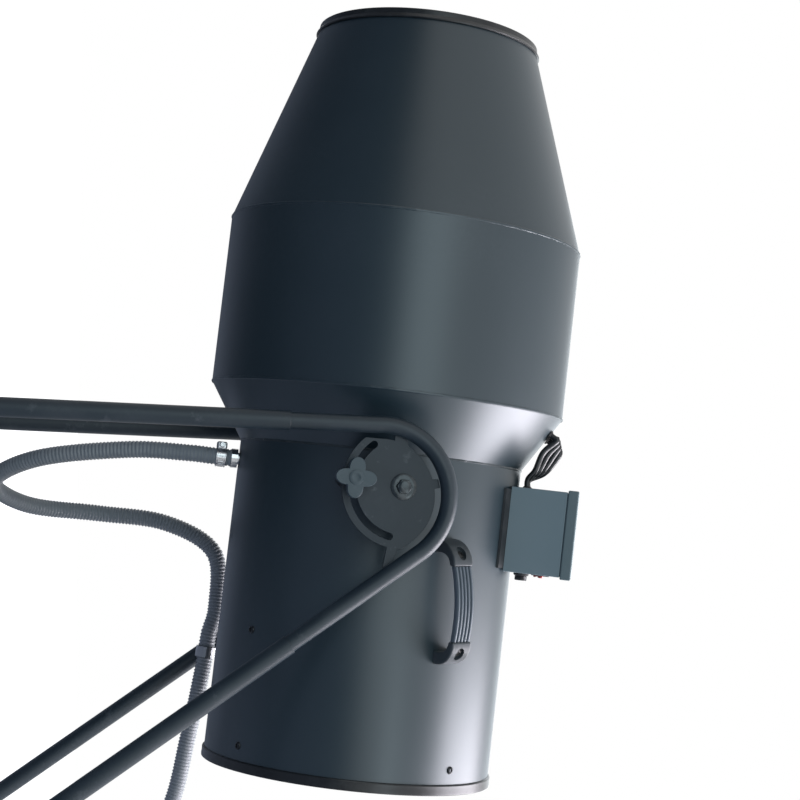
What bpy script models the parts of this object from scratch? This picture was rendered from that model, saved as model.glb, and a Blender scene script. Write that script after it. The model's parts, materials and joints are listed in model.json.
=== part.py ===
"""Foam machine: a sheet-steel foam barrel that tilts on a bent-tube stand.

Metres, +Z up. The outlet points to -X and the photographed side is -Y. The origin is on the
floor, under the middle of the machine. Barrel pieces are modelled level, with the tilt pivot
at their origin and "ahead" measured from it towards the outlet, and hang on the tilt empty.
"""

import math

import bmesh
import bpy
from mathutils import Matrix, Vector

# General clearances
GAP = 0.0003
SHEET = 0.002
FACETS = 36

# Tilt pivot and rest angle
PIVOT_HEIGHT = 0.680
REST_PITCH = math.radians(6.6)
AXIS_RISE = 0.005

# Barrel stations, ahead of the pivot
REAR_END = -0.395
NECK = 0.045
DRUM_REAR = 0.123
DRUM_FRONT = 0.3575
OUTLET = 0.647

# Barrel outer radii
REAR_R = 0.200
DRUM_R = 0.250
OUTLET_R = 0.155
RIM_WIDTH = 0.012
RIM_PROUD = 0.003

# Intake guard
GUARD_STATION = -0.384
GUARD_WIRE = 0.0045
GUARD_RINGS = 4
GUARD_SPOKES = 4
GUARD_HUB_R = 0.030

# Fan and motor
MOTOR_REAR = -0.376
MOTOR_FRONT = -0.176
MOTOR_R = 0.074
SHAFT_R = 0.011
FAN_STATION = -0.125
FAN_HUB_R = 0.048
FAN_HUB_LENGTH = 0.056
FAN_TIP_CLEARANCE = 0.006
BLADE_CHORD = 0.105
BLADE_THICK = 0.006
FAN_BLADES = 6
MOUNT_REAR = -0.364
MOUNT_FRONT = -0.210
MOUNT_WIDTH = 0.022
MOUNT_ARM = 0.005
SCREW_ANGLE = math.radians(35)

# Spray ring and foam screen
FEED_AHEAD = 0.017
FEED_R = 0.0085
RING_STATION = 0.185
RING_R = 0.115
RING_TUBE_R = 0.008
RING_FACETS = 18
SPRAY_NOZZLES = 6
SCREEN_STATION = 0.598
SCREEN_WIDTH = 0.016
SCREEN_RIM = 0.011
SCREEN_CELL = 0.052
SCREEN_BAR = 0.0032

# Feed hose
HOSE_R = 0.0125
HOSE_BORE_R = 0.0097
HOSE_RIB = 0.0009
HOSE_RIBS = 26
NIPPLE_LENGTH = 0.046
NIPPLE_COLLAR = 0.011
COIL_TURNS = 3
COIL_INNER_R = 0.112
COIL_PITCH = 0.0275
COIL_TAIL = 0.030
COIL_BACK = 0.840
COIL_SIDE = 0.120
CLAMP_WIDTH = 0.013

# Stand
SIDE_Y = 0.258
BOW_R = 0.011
BOW_WALL = 0.0015
LEG_R = 0.0125
BEND_R = 0.090
BEND_BACK = 0.0106
BEND_DROP = 0.0311
FRONT_LEAN = math.radians(2.3)
REAR_LEAN = math.radians(34.2)
SLEEVE_DROP = 0.146
SLEEVE_OVERLAP = 0.050
RAIL_HEIGHT = 0.030
RAIL_FRONT = 0.200
RAIL_REAR = 0.610
CROSSBAR_FRONT = 0.142
CROSSBAR_SET_IN = 0.032
FOOT_INSET = 0.022
FOOT_LENGTH = 0.048
FOOT_WIDTH = 0.036

# Pivot plates, bolts and clamp knobs
PLATE_THICK = 0.005
PLATE_INSET = 0.006
PLATE_R = 0.080
PLATE_SLIT = 0.008
SLOT_R = 0.066
SLOT_WIDTH = 0.009
SLOT_FRONT = math.radians(54.9)
SLOT_REAR = math.radians(-73.6)
STUD_ANGLE = math.radians(10.2)
STUD_R = 0.004
BOLT_R = 0.006
BOLT_FLANGE_R = 0.0165
BRACKET_WALL = 0.005
BRACKET_CLEARANCE = 0.0005
KNOB_R = 0.026
KNOB_LOBES = 4
KNOB_THICK = 0.016

# Strap handles
HANDLE_CENTRE = -0.142
HANDLE_HALF = 0.0790
HANDLE_ANGLE = math.radians(22.8)
HANDLE_SKEW = math.radians(6.0)
HANDLE_STANDOFF = 0.040
HANDLE_WIDTH = 0.030
GRIP_WIDTH = 0.026
GRIP_THICK = 0.009
GRIP_BOW = 0.005

# Control box
BOX_FRONT = 0.021
BOX_REAR = -0.096
BOX_WIDTH = 0.130
BOX_TOP = REAR_R + 0.0702
SADDLE_WIDTH = 0.160
SADDLE_THICK = 0.003
BOX_SHEET = 0.002
BOX_ANGLE = math.radians(74.5)
LID_HEIGHT = 0.015
LID_OVERHANG = 0.0028
CABLE_R = 0.0042
CABLES = 4

# Where the pivot stands over the floor, with the machine centred over the origin
FRONT_REACH = (OUTLET + GAP + SHEET) * math.cos(REST_PITCH) + (
    OUTLET_R + RIM_PROUD - AXIS_RISE
) * math.sin(REST_PITCH)
PIVOT_X = (FRONT_REACH - RAIL_REAR) / 2


# Scene, materials and shared helpers
def clear_scene():
    for obj in list(bpy.data.objects):
        bpy.data.objects.remove(obj, do_unlink=True)


def material(name, colour, roughness, metallic=0.0):
    mat = bpy.data.materials.new(name)
    mat.use_nodes = True
    shader = mat.node_tree.nodes["Principled BSDF"]
    shader.inputs["Base Color"].default_value = (*colour, 1.0)
    shader.inputs["Roughness"].default_value = roughness
    shader.inputs["Metallic"].default_value = metallic
    mat.diffuse_color = (*colour, 1.0)
    return mat


def empty(name, location, rotation=(0, 0, 0), parent=None):
    obj = bpy.data.objects.new(name, None)
    bpy.context.collection.objects.link(obj)
    obj.location = location
    obj.rotation_euler = rotation
    obj.parent = parent
    return obj


def add_mesh(name, bm, mat=None, parent=None, smooth=True, matrix=None):
    bmesh.ops.recalc_face_normals(bm, faces=bm.faces)
    if bm.calc_volume(signed=True) < 0:
        bmesh.ops.reverse_faces(bm, faces=bm.faces)
    mesh = bpy.data.meshes.new(name)
    bm.to_mesh(mesh)
    bm.free()
    if smooth:
        mesh.shade_smooth()
        mesh.set_sharp_from_angle(angle=math.radians(35))
    obj = bpy.data.objects.new(name, mesh)
    bpy.context.collection.objects.link(obj)
    if mat:
        mesh.materials.append(mat)
    obj.parent = parent
    if matrix is not None:
        obj.matrix_basis = matrix
    return obj


def as_cutter(obj):
    obj.hide_render = True
    obj.display_type = "WIRE"
    return obj


def boolean(obj, other, operation):
    mod = obj.modifiers.new(operation.title() + " " + other.name, "BOOLEAN")
    mod.operation = operation
    mod.object = as_cutter(other)
    mod.solver = "EXACT"
    return obj


def ring_of(bm, centre, side, other, radius, count, turn=0.0):
    verts = []
    for i in range(count):
        angle = turn + 2 * math.pi * i / count
        offset = side * (radius * math.cos(angle)) + other * (radius * math.sin(angle))
        verts.append(bm.verts.new(centre + offset))
    return verts


def bridge(bm, ring_a, ring_b):
    count = len(ring_a)
    for i in range(count):
        j = (i + 1) % count
        bm.faces.new((ring_a[i], ring_a[j], ring_b[j], ring_b[i]))


def revolve(profile, count, axis_height=AXIS_RISE):
    """A closed profile of (ahead, radius) points turned about the barrel axis."""
    bm = bmesh.new()
    loops = []
    for ahead, radius in profile:
        centre = Vector((-ahead, 0, axis_height))
        loops.append(ring_of(bm, centre, Vector((0, 1, 0)), Vector((0, 0, 1)), radius, count))
    for i, loop in enumerate(loops):
        bridge(bm, loop, loops[(i + 1) % len(loops)])
    return bm


def barrel_plug(rear, front, radius):
    """A solid cylinder on the barrel's axis, with the same facets as its shells."""
    bm = bmesh.new()
    loops = []
    for ahead in (rear, front):
        centre = Vector((-ahead, 0, AXIS_RISE))
        loops.append(ring_of(bm, centre, Vector((0, 1, 0)), Vector((0, 0, 1)), radius, FACETS))
    bridge(bm, loops[0], loops[1])
    bm.faces.new(loops[0])
    bm.faces.new(loops[1])
    return bm


def turned(profile, count):
    """Points (height, radius) turned about Z, with the two ends closed by flat faces."""
    bm = bmesh.new()
    loops = []
    for height, radius in profile:
        centre = Vector((0, 0, height))
        loops.append(ring_of(bm, centre, Vector((1, 0, 0)), Vector((0, 1, 0)), radius, count))
    for first, second in zip(loops, loops[1:]):
        bridge(bm, first, second)
    bm.faces.new(loops[0])
    bm.faces.new(loops[-1])
    return bm


def prism(points, low, high):
    """A flat outline of (x, y) points extruded along Z from low to high."""
    bm = bmesh.new()
    face = bm.faces.new([bm.verts.new((x, y, low)) for x, y in points])
    grown = bmesh.ops.extrude_face_region(bm, geom=[face])
    moved = [v for v in grown["geom"] if isinstance(v, bmesh.types.BMVert)]
    bmesh.ops.translate(bm, verts=moved, vec=(0, 0, high - low))
    return bm


def block(low, high, bevel=0.0):
    size = [b - a for a, b in zip(low, high)]
    middle = [(a + b) / 2 for a, b in zip(low, high)]
    bm = bmesh.new()
    bmesh.ops.create_cube(bm, size=1.0)
    bmesh.ops.scale(bm, vec=size, verts=bm.verts)
    bmesh.ops.translate(bm, vec=middle, verts=bm.verts)
    if bevel:
        bmesh.ops.bevel(bm, geom=bm.edges, offset=bevel, segments=2, affect="EDGES")
    return bm


def circle_points(centre, radius, count, start=0.0, sweep=2 * math.pi):
    closed = abs(sweep - 2 * math.pi) < 1e-9
    steps = count if closed else count - 1
    points = []
    for i in range(count):
        angle = start + sweep * i / steps
        points.append(
            (centre[0] + radius * math.cos(angle), centre[1] + radius * math.sin(angle))
        )
    return points


def tube(points, radius, bore, count):
    """A bent tube along points in the XZ plane, with an open bore."""
    bm = bmesh.new()
    outer = []
    inner = []
    for i, point in enumerate(points):
        before = points[max(i - 1, 0)]
        after = points[min(i + 1, len(points) - 1)]
        along = (after - before).normalized()
        side = Vector((0, 1, 0))
        other = along.cross(side)
        outer.append(ring_of(bm, point, side, other, radius, count))
        inner.append(ring_of(bm, point, side, other, bore, count))
    for rings in (outer, inner):
        for first, second in zip(rings, rings[1:]):
            bridge(bm, first, second)
    bridge(bm, outer[0], inner[0])
    bridge(bm, outer[-1], inner[-1])
    return bm


def rod(start, end, radius, count=16, bore=0.0):
    """A round bar, or a tube where a bore is given, from start to end."""
    bm = bmesh.new()
    along = (end - start).normalized()
    side = along.orthogonal().normalized()
    other = along.cross(side)
    rings = [ring_of(bm, point, side, other, radius, count) for point in (start, end)]
    bridge(bm, rings[0], rings[1])
    if bore:
        inner = [ring_of(bm, point, side, other, bore, count) for point in (start, end)]
        bridge(bm, inner[0], inner[1])
        bridge(bm, rings[0], inner[0])
        bridge(bm, rings[1], inner[1])
    else:
        bm.faces.new(rings[0])
        bm.faces.new(rings[1])
    return bm


def merge(bm, part):
    """Adds the faces of another bmesh, as its own closed shape."""
    mesh = bpy.data.meshes.new("merge")
    part.to_mesh(mesh)
    part.free()
    bm.from_mesh(mesh)
    bpy.data.meshes.remove(mesh)
    return bm


# Barrel shells
def nozzle_radius(ahead):
    share = (ahead - DRUM_FRONT) / (OUTLET - DRUM_FRONT)
    return DRUM_R + (OUTLET_R - DRUM_R) * share


def flare_radius(ahead):
    share = (ahead - NECK) / (DRUM_REAR - NECK)
    return REAR_R + (DRUM_R - REAR_R) * share


def shell(name, rear, front, rear_r, front_r, mats, parent):
    rear += GAP / 2
    front -= GAP / 2
    profile = [
        (rear, rear_r),
        (front, front_r),
        (front, front_r - SHEET),
        (rear, rear_r - SHEET),
    ]
    return add_mesh(name, revolve(profile, FACETS), mats["barrel"], parent)


def build_shells(mats, tilt):
    rear = shell("rear_barrel", REAR_END, NECK, REAR_R, REAR_R, mats, tilt)
    shell("flare_cone", NECK, DRUM_REAR, REAR_R, DRUM_R, mats, tilt)
    shell("drum_shell", DRUM_REAR, DRUM_FRONT, DRUM_R, DRUM_R, mats, tilt)
    shell("nozzle_cone", DRUM_FRONT, OUTLET, DRUM_R, OUTLET_R, mats, tilt)
    low = AXIS_RISE - REAR_R - 0.02
    high = AXIS_RISE - REAR_R + 0.02
    hole = rod(Vector((-FEED_AHEAD, 0, low)), Vector((-FEED_AHEAD, 0, high)), FEED_R + GAP, 16)
    boolean(rear, add_mesh("feed_hole_cutter", hole, parent=tilt), "DIFFERENCE")


def rim(name, end, radius, outward, slope, mats, tilt):
    """A rolled edge: a proud band over the sheet's end, with a lip across it.

    slope is how much the sheet's radius grows for each metre away from the end.
    """
    inside = end - outward * RIM_WIDTH
    inside_r = radius + slope * RIM_WIDTH
    lip = end + outward * (GAP + SHEET)
    profile = [
        (inside, inside_r + GAP),
        (inside + outward * 0.001, inside_r + RIM_PROUD),
        (lip, radius + RIM_PROUD),
        (lip, radius - SHEET),
        (end + outward * GAP, radius - SHEET),
        (end + outward * GAP, radius + GAP),
    ]
    return add_mesh(name, revolve(profile, FACETS), mats["rim"], tilt)


def build_rims(mats, tilt):
    slope = (DRUM_R - OUTLET_R) / (OUTLET - DRUM_FRONT)
    rim("rear_rim", REAR_END, REAR_R, -1, 0.0, mats, tilt)
    rim("outlet_rim", OUTLET, OUTLET_R, 1, slope, mats, tilt)


# Intake guard: rings of wire welded on flat spokes
def build_guard(mats, tilt):
    wire = GUARD_WIRE
    outer_r = REAR_R - SHEET - GAP
    spokes = bmesh.new()
    for i in range(GUARD_SPOKES):
        angle = SCREW_ANGLE + 2 * math.pi * i / GUARD_SPOKES
        bar = block(
            (-wire / 2, -wire / 2, GUARD_HUB_R - wire),
            (wire / 2, wire / 2, outer_r - wire / 2),
        )
        bmesh.ops.rotate(bar, verts=bar.verts, matrix=Matrix.Rotation(angle, 3, "X"))
        merge(spokes, bar)
    bmesh.ops.translate(spokes, verts=spokes.verts, vec=(-GUARD_STATION, 0, AXIS_RISE))
    rings = bmesh.new()
    step = (outer_r - wire - GUARD_HUB_R) / (GUARD_RINGS - 1)
    for i in range(GUARD_RINGS):
        radius = GUARD_HUB_R + wire + step * i
        profile = [
            (GUARD_STATION - wire * 0.4, radius - wire),
            (GUARD_STATION - wire * 0.4, radius),
            (GUARD_STATION + wire * 0.4, radius),
            (GUARD_STATION + wire * 0.4, radius - wire),
        ]
        merge(rings, revolve(profile, FACETS if i == GUARD_RINGS - 1 else FACETS // 2))
    hub = rod(
        Vector((-GUARD_STATION - wire * 0.6, 0, AXIS_RISE)),
        Vector((-GUARD_STATION + wire * 0.6, 0, AXIS_RISE)),
        GUARD_HUB_R - wire / 2,
        16,
    )
    merge(rings, hub)
    guard = add_mesh("intake_guard", rings, mats["guard"], tilt)
    boolean(guard, add_mesh("guard_spoke_tool", spokes, parent=tilt), "UNION")


# Motor, its two spiders and the fan
def build_motor(mats, tilt):
    bm = bmesh.new()
    fins = 12
    outline = []
    for i in range(fins):
        for share, radius in ((0.0, MOTOR_R), (0.4, MOTOR_R), (0.5, MOTOR_R - 0.005)):
            angle = 2 * math.pi * (i + share) / fins
            outline.append((radius, angle))
        outline.append((MOTOR_R - 0.005, 2 * math.pi * (i + 0.9) / fins))
    stations = [
        (MOTOR_REAR, 0.80),
        (MOTOR_REAR + 0.010, 1.0),
        (MOTOR_FRONT - 0.010, 1.0),
        (MOTOR_FRONT, 0.80),
    ]
    loops = []
    for ahead, scale in stations:
        loop = []
        for radius, angle in outline:
            y = radius * scale * math.cos(angle)
            z = radius * scale * math.sin(angle)
            loop.append(bm.verts.new((-ahead, y, AXIS_RISE + z)))
        loops.append(loop)
    for first, second in zip(loops, loops[1:]):
        bridge(bm, first, second)
    bm.faces.new(loops[0])
    bm.faces.new(loops[-1])
    motor = add_mesh("fan_motor", bm, mats["motor"], tilt)
    shaft = rod(
        Vector((-MOTOR_FRONT + 0.01, 0, AXIS_RISE)),
        Vector((-FAN_STATION - FAN_HUB_LENGTH / 2 - 0.006, 0, AXIS_RISE)),
        SHAFT_R,
        24,
    )
    boolean(motor, add_mesh("shaft_tool", shaft, parent=tilt), "UNION")


def build_motor_mount(name, station, mats, tilt):
    """A clamp ring round the motor with four arms that are screwed to the barrel wall."""
    half = MOUNT_WIDTH / 2
    wall_r = REAR_R - SHEET - GAP
    bore = (MOTOR_R + GAP) / math.cos(math.pi / 32)
    profile = [
        (station - half, bore),
        (station - half, MOTOR_R + MOUNT_ARM),
        (station + half, MOTOR_R + MOUNT_ARM),
        (station + half, bore),
    ]
    mount = add_mesh(name, revolve(profile, 32), mats["bracket"], tilt)
    arms = bmesh.new()
    for i in range(4):
        arm_half = half - 0.002
        arm = block(
            (-arm_half, -MOUNT_ARM / 2, MOTOR_R + MOUNT_ARM / 2),
            (arm_half, MOUNT_ARM / 2, wall_r - MOUNT_ARM / 2),
        )
        foot = block((-half, -0.016, wall_r - MOUNT_ARM), (half, 0.016, REAR_R))
        for piece in (arm, foot):
            turn = Matrix.Rotation(math.pi / 2 - SCREW_ANGLE - i * math.pi / 2, 3, "X")
            bmesh.ops.rotate(piece, verts=piece.verts, matrix=turn)
            merge(arms, piece)
    bmesh.ops.translate(arms, verts=arms.verts, vec=(-station, 0, AXIS_RISE))
    tool = add_mesh(name + "_arm_tool", arms, parent=tilt)
    boolean(mount, tool, "UNION").modifiers[-1].use_self = True
    limit = barrel_plug(station - 0.05, station + 0.05, wall_r)
    boolean(mount, add_mesh(name + "_wall_tool", limit, parent=tilt), "INTERSECT")


def fan_blade(root_r, tip_r):
    """One twisted blade, lofted through airfoil-like sections from root to tip."""
    bm = bmesh.new()
    stations = 4
    loops = []
    for i in range(stations):
        share = i / (stations - 1)
        radius = root_r + (tip_r - root_r) * share
        chord = BLADE_CHORD * (1 - 0.19 * share)
        pitch = math.radians(52 - 26 * share)
        thick = BLADE_THICK * (1 - 0.5 * share)
        camber = BLADE_CHORD * 0.095
        loop = []
        shape = [(-0.5, 0), (-0.2, 1), (0.2, 1), (0.5, 0), (0.2, -1), (-0.2, -1)]
        for along, side in shape:
            lift = camber * (1 - (2 * along) ** 2) + side * thick / 2
            sweep = along * chord
            ahead = sweep * math.sin(pitch) + lift * math.cos(pitch)
            round_ = sweep * math.cos(pitch) - lift * math.sin(pitch)
            loop.append(bm.verts.new((-ahead, round_, math.sqrt(radius**2 - round_**2))))
        loops.append(loop)
    for first, second in zip(loops, loops[1:]):
        bridge(bm, first, second)
    bm.faces.new(loops[0])
    bm.faces.new(loops[-1])
    bmesh.ops.triangulate(bm, faces=bm.faces)
    return bm


def build_fan(mats, axle):
    half = FAN_HUB_LENGTH / 2
    bm = bmesh.new()
    loops = []
    for ahead, radius in (
        (-half, SHAFT_R + GAP),
        (-half, FAN_HUB_R),
        (half * 0.6, FAN_HUB_R),
        (half, FAN_HUB_R * 0.75),
        (half, SHAFT_R + GAP),
    ):
        centre = Vector((-ahead, 0, 0))
        loops.append(ring_of(bm, centre, Vector((0, 1, 0)), Vector((0, 0, 1)), radius, 24))
    for i, loop in enumerate(loops):
        bridge(bm, loop, loops[(i + 1) % len(loops)])
    fan = add_mesh("fan", bm, mats["fan"], axle)
    tip_r = REAR_R - SHEET - FAN_TIP_CLEARANCE
    blades = bmesh.new()
    for i in range(FAN_BLADES):
        blade = fan_blade(FAN_HUB_R - 0.006, tip_r)
        turn = Matrix.Rotation(2 * math.pi * i / FAN_BLADES, 3, "X")
        bmesh.ops.rotate(blade, verts=blade.verts, matrix=turn)
        merge(blades, blade)
    boolean(fan, add_mesh("blade_tool", blades, parent=axle), "UNION")


# Foam side: feed nipple, spray ring and screen
def build_nipple(mats, tilt):
    skin = AXIS_RISE - REAR_R
    profile = [
        (-NIPPLE_LENGTH, FEED_R - 0.0015),
        (-NIPPLE_LENGTH + 0.004, FEED_R),
        (-NIPPLE_COLLAR, FEED_R),
        (-NIPPLE_COLLAR, HOSE_R + 0.001),
        (-0.0022, HOSE_R + 0.001),
        (-0.0022, FEED_R),
        (SHEET + 0.010, FEED_R),
    ]
    place = Matrix.Translation((-FEED_AHEAD, 0, skin))
    nipple = add_mesh("feed_nipple", turned(profile, 16), mats["metal"], tilt, matrix=place)
    bore = rod(Vector((0, 0, -0.1)), Vector((0, 0, 0.1)), FEED_R - 0.0028, 12)
    tool = add_mesh("nipple_bore_tool", bore, parent=tilt, matrix=place)
    boolean(nipple, tool, "DIFFERENCE")


def build_spray_ring(mats, tilt):
    """A ring pipe on three stays, with its feed pipe and nozzles that point ahead."""
    bm = bmesh.new()
    loops = []
    for i in range(RING_FACETS):
        angle = 2 * math.pi * i / RING_FACETS
        out = Vector((0, math.cos(angle), math.sin(angle)))
        centre = Vector((-RING_STATION, 0, AXIS_RISE)) + out * RING_R
        loops.append(ring_of(bm, centre, out, Vector((1, 0, 0)), RING_TUBE_R, 6))
    for i, loop in enumerate(loops):
        bridge(bm, loop, loops[(i + 1) % RING_FACETS])
    ring = add_mesh("spray_ring", bm, mats["metal"], tilt)
    extras = bmesh.new()
    for i in range(SPRAY_NOZZLES):
        angle = math.pi / 2 + 2 * math.pi * i / SPRAY_NOZZLES
        spot = Vector((-RING_STATION, RING_R * math.cos(angle), AXIS_RISE + RING_R * math.sin(angle)))
        start = spot + Vector((-RING_TUBE_R * 0.5, 0, 0))
        merge(extras, rod(start, spot + Vector((-0.030, 0, 0)), 0.0055, 6))
    for i in range(3):
        angle = math.pi / 6 + 2 * math.pi * i / 3
        out = Vector((0, math.cos(angle), math.sin(angle)))
        centre = Vector((-RING_STATION + 0.002, 0, AXIS_RISE))
        start = centre + out * (RING_R + RING_TUBE_R * 0.4)
        end = centre + out * (DRUM_R - SHEET - 0.0008)
        if math.sin(angle) > -0.9:
            merge(extras, rod(start, end, 0.004, 6))
    boolean(ring, add_mesh("spray_stay_tool", extras, parent=tilt), "UNION")
    foot = AXIS_RISE - REAR_R + SHEET + 0.010 + GAP
    top = AXIS_RISE - RING_R
    route = [
        Vector((-FEED_AHEAD, 0, foot)),
        Vector((-FEED_AHEAD, 0, foot + 0.030)),
        Vector((-FEED_AHEAD - 0.010, 0, foot + 0.045)),
        Vector((-FEED_AHEAD - 0.030, 0, foot + 0.055)),
        Vector((-RING_STATION + 0.020, 0, top)),
        Vector((-RING_STATION, 0, top)),
    ]
    feed = tube(route, RING_TUBE_R * 0.9, RING_TUBE_R * 0.3, 8)
    boolean(ring, add_mesh("feed_pipe_tool", feed, parent=tilt), "UNION")


def build_screen(mats, tilt):
    """The screen that the foam forms on: a flat net in a tapered ring, wedged in the nozzle."""
    half = SCREEN_WIDTH / 2
    rear = SCREEN_STATION - half
    front = SCREEN_STATION + half
    rear_r = nozzle_radius(rear) - SHEET - GAP * 2
    front_r = nozzle_radius(front) - SHEET - GAP * 2
    net_r = front_r - SCREEN_RIM
    profile = [
        (rear, net_r),
        (rear, rear_r),
        (front, front_r),
        (front, net_r),
        (SCREEN_STATION + SCREEN_BAR / 2, net_r),
    ]
    bm = bmesh.new()
    loops = []
    for ahead, radius in profile:
        centre = Vector((-ahead, 0, AXIS_RISE))
        loops.append(ring_of(bm, centre, Vector((0, 1, 0)), Vector((0, 0, 1)), radius, FACETS))
    back = ring_of(
        bm,
        Vector((-SCREEN_STATION + SCREEN_BAR / 2, 0, AXIS_RISE)),
        Vector((0, 1, 0)),
        Vector((0, 0, 1)),
        net_r,
        FACETS,
    )
    for first, second in zip(loops, loops[1:]):
        bridge(bm, first, second)
    bridge(bm, back, loops[0])
    bm.faces.new(loops[-1])
    bm.faces.new(back)
    screen = add_mesh("foam_screen", bm, mats["metal"], tilt)
    cells = bmesh.new()
    count = math.ceil(net_r / SCREEN_CELL)
    hole = (SCREEN_CELL - SCREEN_BAR) / 2
    for row in range(-count, count + 1):
        for column in range(-count, count + 1):
            y = row * SCREEN_CELL
            z = column * SCREEN_CELL
            if math.hypot(abs(y) - hole, abs(z) - hole) > net_r - 0.004:
                continue
            merge(cells, block((-0.01, y - hole, z - hole), (0.01, y + hole, z + hole)))
    bmesh.ops.translate(cells, verts=cells.verts, vec=(-SCREEN_STATION, 0, AXIS_RISE))
    tool = add_mesh("screen_cell_tool", cells, parent=tilt)
    limit = barrel_plug(SCREEN_STATION - 0.005, SCREEN_STATION + 0.005, net_r - 0.0002)
    boolean(tool, add_mesh("screen_limit_tool", limit, parent=tilt), "INTERSECT")
    boolean(screen, tool, "DIFFERENCE")


# Feed hose: slack loop to a clip on the stand, a run to the floor and a coil there
def smooth_route(points, spacing):
    """Evenly spaced points on a smooth curve through hand-chosen route points."""
    dense = []
    padded = [points[0] * 2 - points[1]] + points + [points[-1] * 2 - points[-2]]
    for a, b, c, d in zip(padded, padded[1:], padded[2:], padded[3:]):
        for i in range(24):
            t = i / 24
            dense.append(
                0.5
                * (
                    2 * b
                    + (c - a) * t
                    + (2 * a - 5 * b + 4 * c - d) * t * t
                    + (3 * b - a - 3 * c + d) * t**3
                )
            )
    dense.append(points[-1].copy())
    for _ in range(6):
        inner = [(p + q * 2 + r) / 4 for p, q, r in zip(dense, dense[1:], dense[2:])]
        dense = [dense[0]] + inner + [dense[-1]]
    dense = straight_end(dense, points[0], points[1])
    dense = straight_end(dense, points[-1], points[-2])
    return resample(dense, spacing)


def straight_end(dense, end, after):
    """Lays the points near an end on the straight line from it, for two tube radii."""
    along = (after - end).normalized()
    straight = min(2.2 * HOSE_R, (after - end).length)
    result = []
    for p in dense:
        reach = (p - end).dot(along)
        close = reach < straight and (p - end).length < straight * 1.5
        result.append(end + along * max(reach, 0.0) if close else p)
    return result


def resample(points, spacing):
    total = sum((q - p).length for p, q in zip(points, points[1:]))
    steps = max(round(total / spacing), 2)
    result = [points[0].copy()]
    target = total / steps
    travelled = 0.0
    for p, q in zip(points, points[1:]):
        length = (q - p).length
        while travelled + length >= target * len(result) - 1e-9 and len(result) < steps:
            share = (target * len(result) - travelled) / length
            result.append(p.lerp(q, share))
        travelled += length
    result.append(points[-1].copy())
    return result


def route_length(points):
    return sum((q - p).length for p, q in zip(points, points[1:]))


def curve_tube(name, points, radius, resolution, mat=None, parent=None, radii=None):
    data = bpy.data.curves.new(name, "CURVE")
    data.dimensions = "3D"
    data.bevel_depth = radius
    data.bevel_resolution = resolution
    data.use_fill_caps = True
    data.twist_mode = "MINIMUM"
    spline = data.splines.new("POLY")
    spline.points.add(len(points) - 1)
    for i, point in enumerate(points):
        spline.points[i].co = (*point, 1.0)
        spline.points[i].radius = radii[i] if radii else 1.0
    obj = bpy.data.objects.new(name, data)
    bpy.context.collection.objects.link(obj)
    obj.parent = parent
    if mat:
        data.materials.append(mat)
    return obj


def as_mesh(obj, name):
    """Replaces a curve object by a mesh object of the same shape."""
    depsgraph = bpy.context.evaluated_depsgraph_get()
    mesh = bpy.data.meshes.new_from_object(obj.evaluated_get(depsgraph))
    mesh.name = name
    result = bpy.data.objects.new(name, mesh)
    bpy.context.collection.objects.link(result)
    result.parent = obj.parent
    bpy.data.objects.remove(obj, do_unlink=True)
    return result


def ribbed_hose(name, points, mat):
    """A hose with ribs along its length and an open bore."""
    ribs = resample(points, route_length(points) / (HOSE_RIBS * 2))
    radii = [1.0 if i % 2 else 1.0 - HOSE_RIB / HOSE_R for i in range(len(ribs))]
    hose = as_mesh(curve_tube(name + "_skin", ribs, HOSE_R, 2, radii=radii), name)
    hose.data.materials.clear()
    hose.data.materials.append(mat)
    start = (points[0] - points[1]).normalized() * 0.002
    end = (points[-1] - points[-2]).normalized() * 0.002
    inner = resample(points, 0.030)
    inner = [inner[0] + start] + inner[1:-1] + [inner[-1] + end]
    bore = as_mesh(curve_tube(name + "_bore", inner, HOSE_BORE_R, 2), name + "_bore_tool")
    boolean(hose, bore, "DIFFERENCE")
    return hose


def rear_leg_point(drop):
    """The rear leg's centre line in the side plane, at a drop below the pivot, as (back, up)."""
    start = (
        BEND_BACK + BEND_R * math.cos(REAR_LEAN),
        -BEND_DROP + BEND_R * math.sin(REAR_LEAN),
    )
    run = (drop + start[1]) * math.tan(REAR_LEAN)
    return start[0] + run, -drop


CLIP_DROP = 0.224
CLIP_SIDE = SIDE_Y - LEG_R - HOSE_R - 0.0015


def clip_frame():
    """The hose's centre in the clip and its direction there."""
    back, up = rear_leg_point(CLIP_DROP)
    centre = Vector((PIVOT_X + back, CLIP_SIDE, PIVOT_HEIGHT + up))
    return centre, Vector((0.985, 0.0, -0.17)).normalized()


def coil_points():
    centre = Vector((PIVOT_X + COIL_BACK, COIL_SIDE, HOSE_R + 0.0004))
    points = []
    steps = COIL_TURNS * 24
    for i in range(steps + 1):
        angle = math.pi / 2 - 2 * math.pi * i / 24
        drawn_in = max(0.0, (i - steps + 14) / 14) ** 2 * COIL_TAIL
        radius = COIL_INNER_R + COIL_PITCH * (COIL_TURNS - i / 24) - drawn_in
        points.append(centre + Vector((radius * math.cos(angle), radius * math.sin(angle), 0)))
    straight = 2 * HOSE_R
    first = (points[0] - points[1]).normalized()
    last = (points[-1] - points[-2]).normalized()
    return [points[0] + first * straight] + points + [points[-1] + last * straight]


def least_gap(points, radius):
    """The least gap of a wound tube to itself, past one turn's half along its length."""
    best = 1.0
    for i, p in enumerate(points):
        for q in points[i + 12:]:
            best = min(best, (p - q).length - 2 * radius)
    return best


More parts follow.
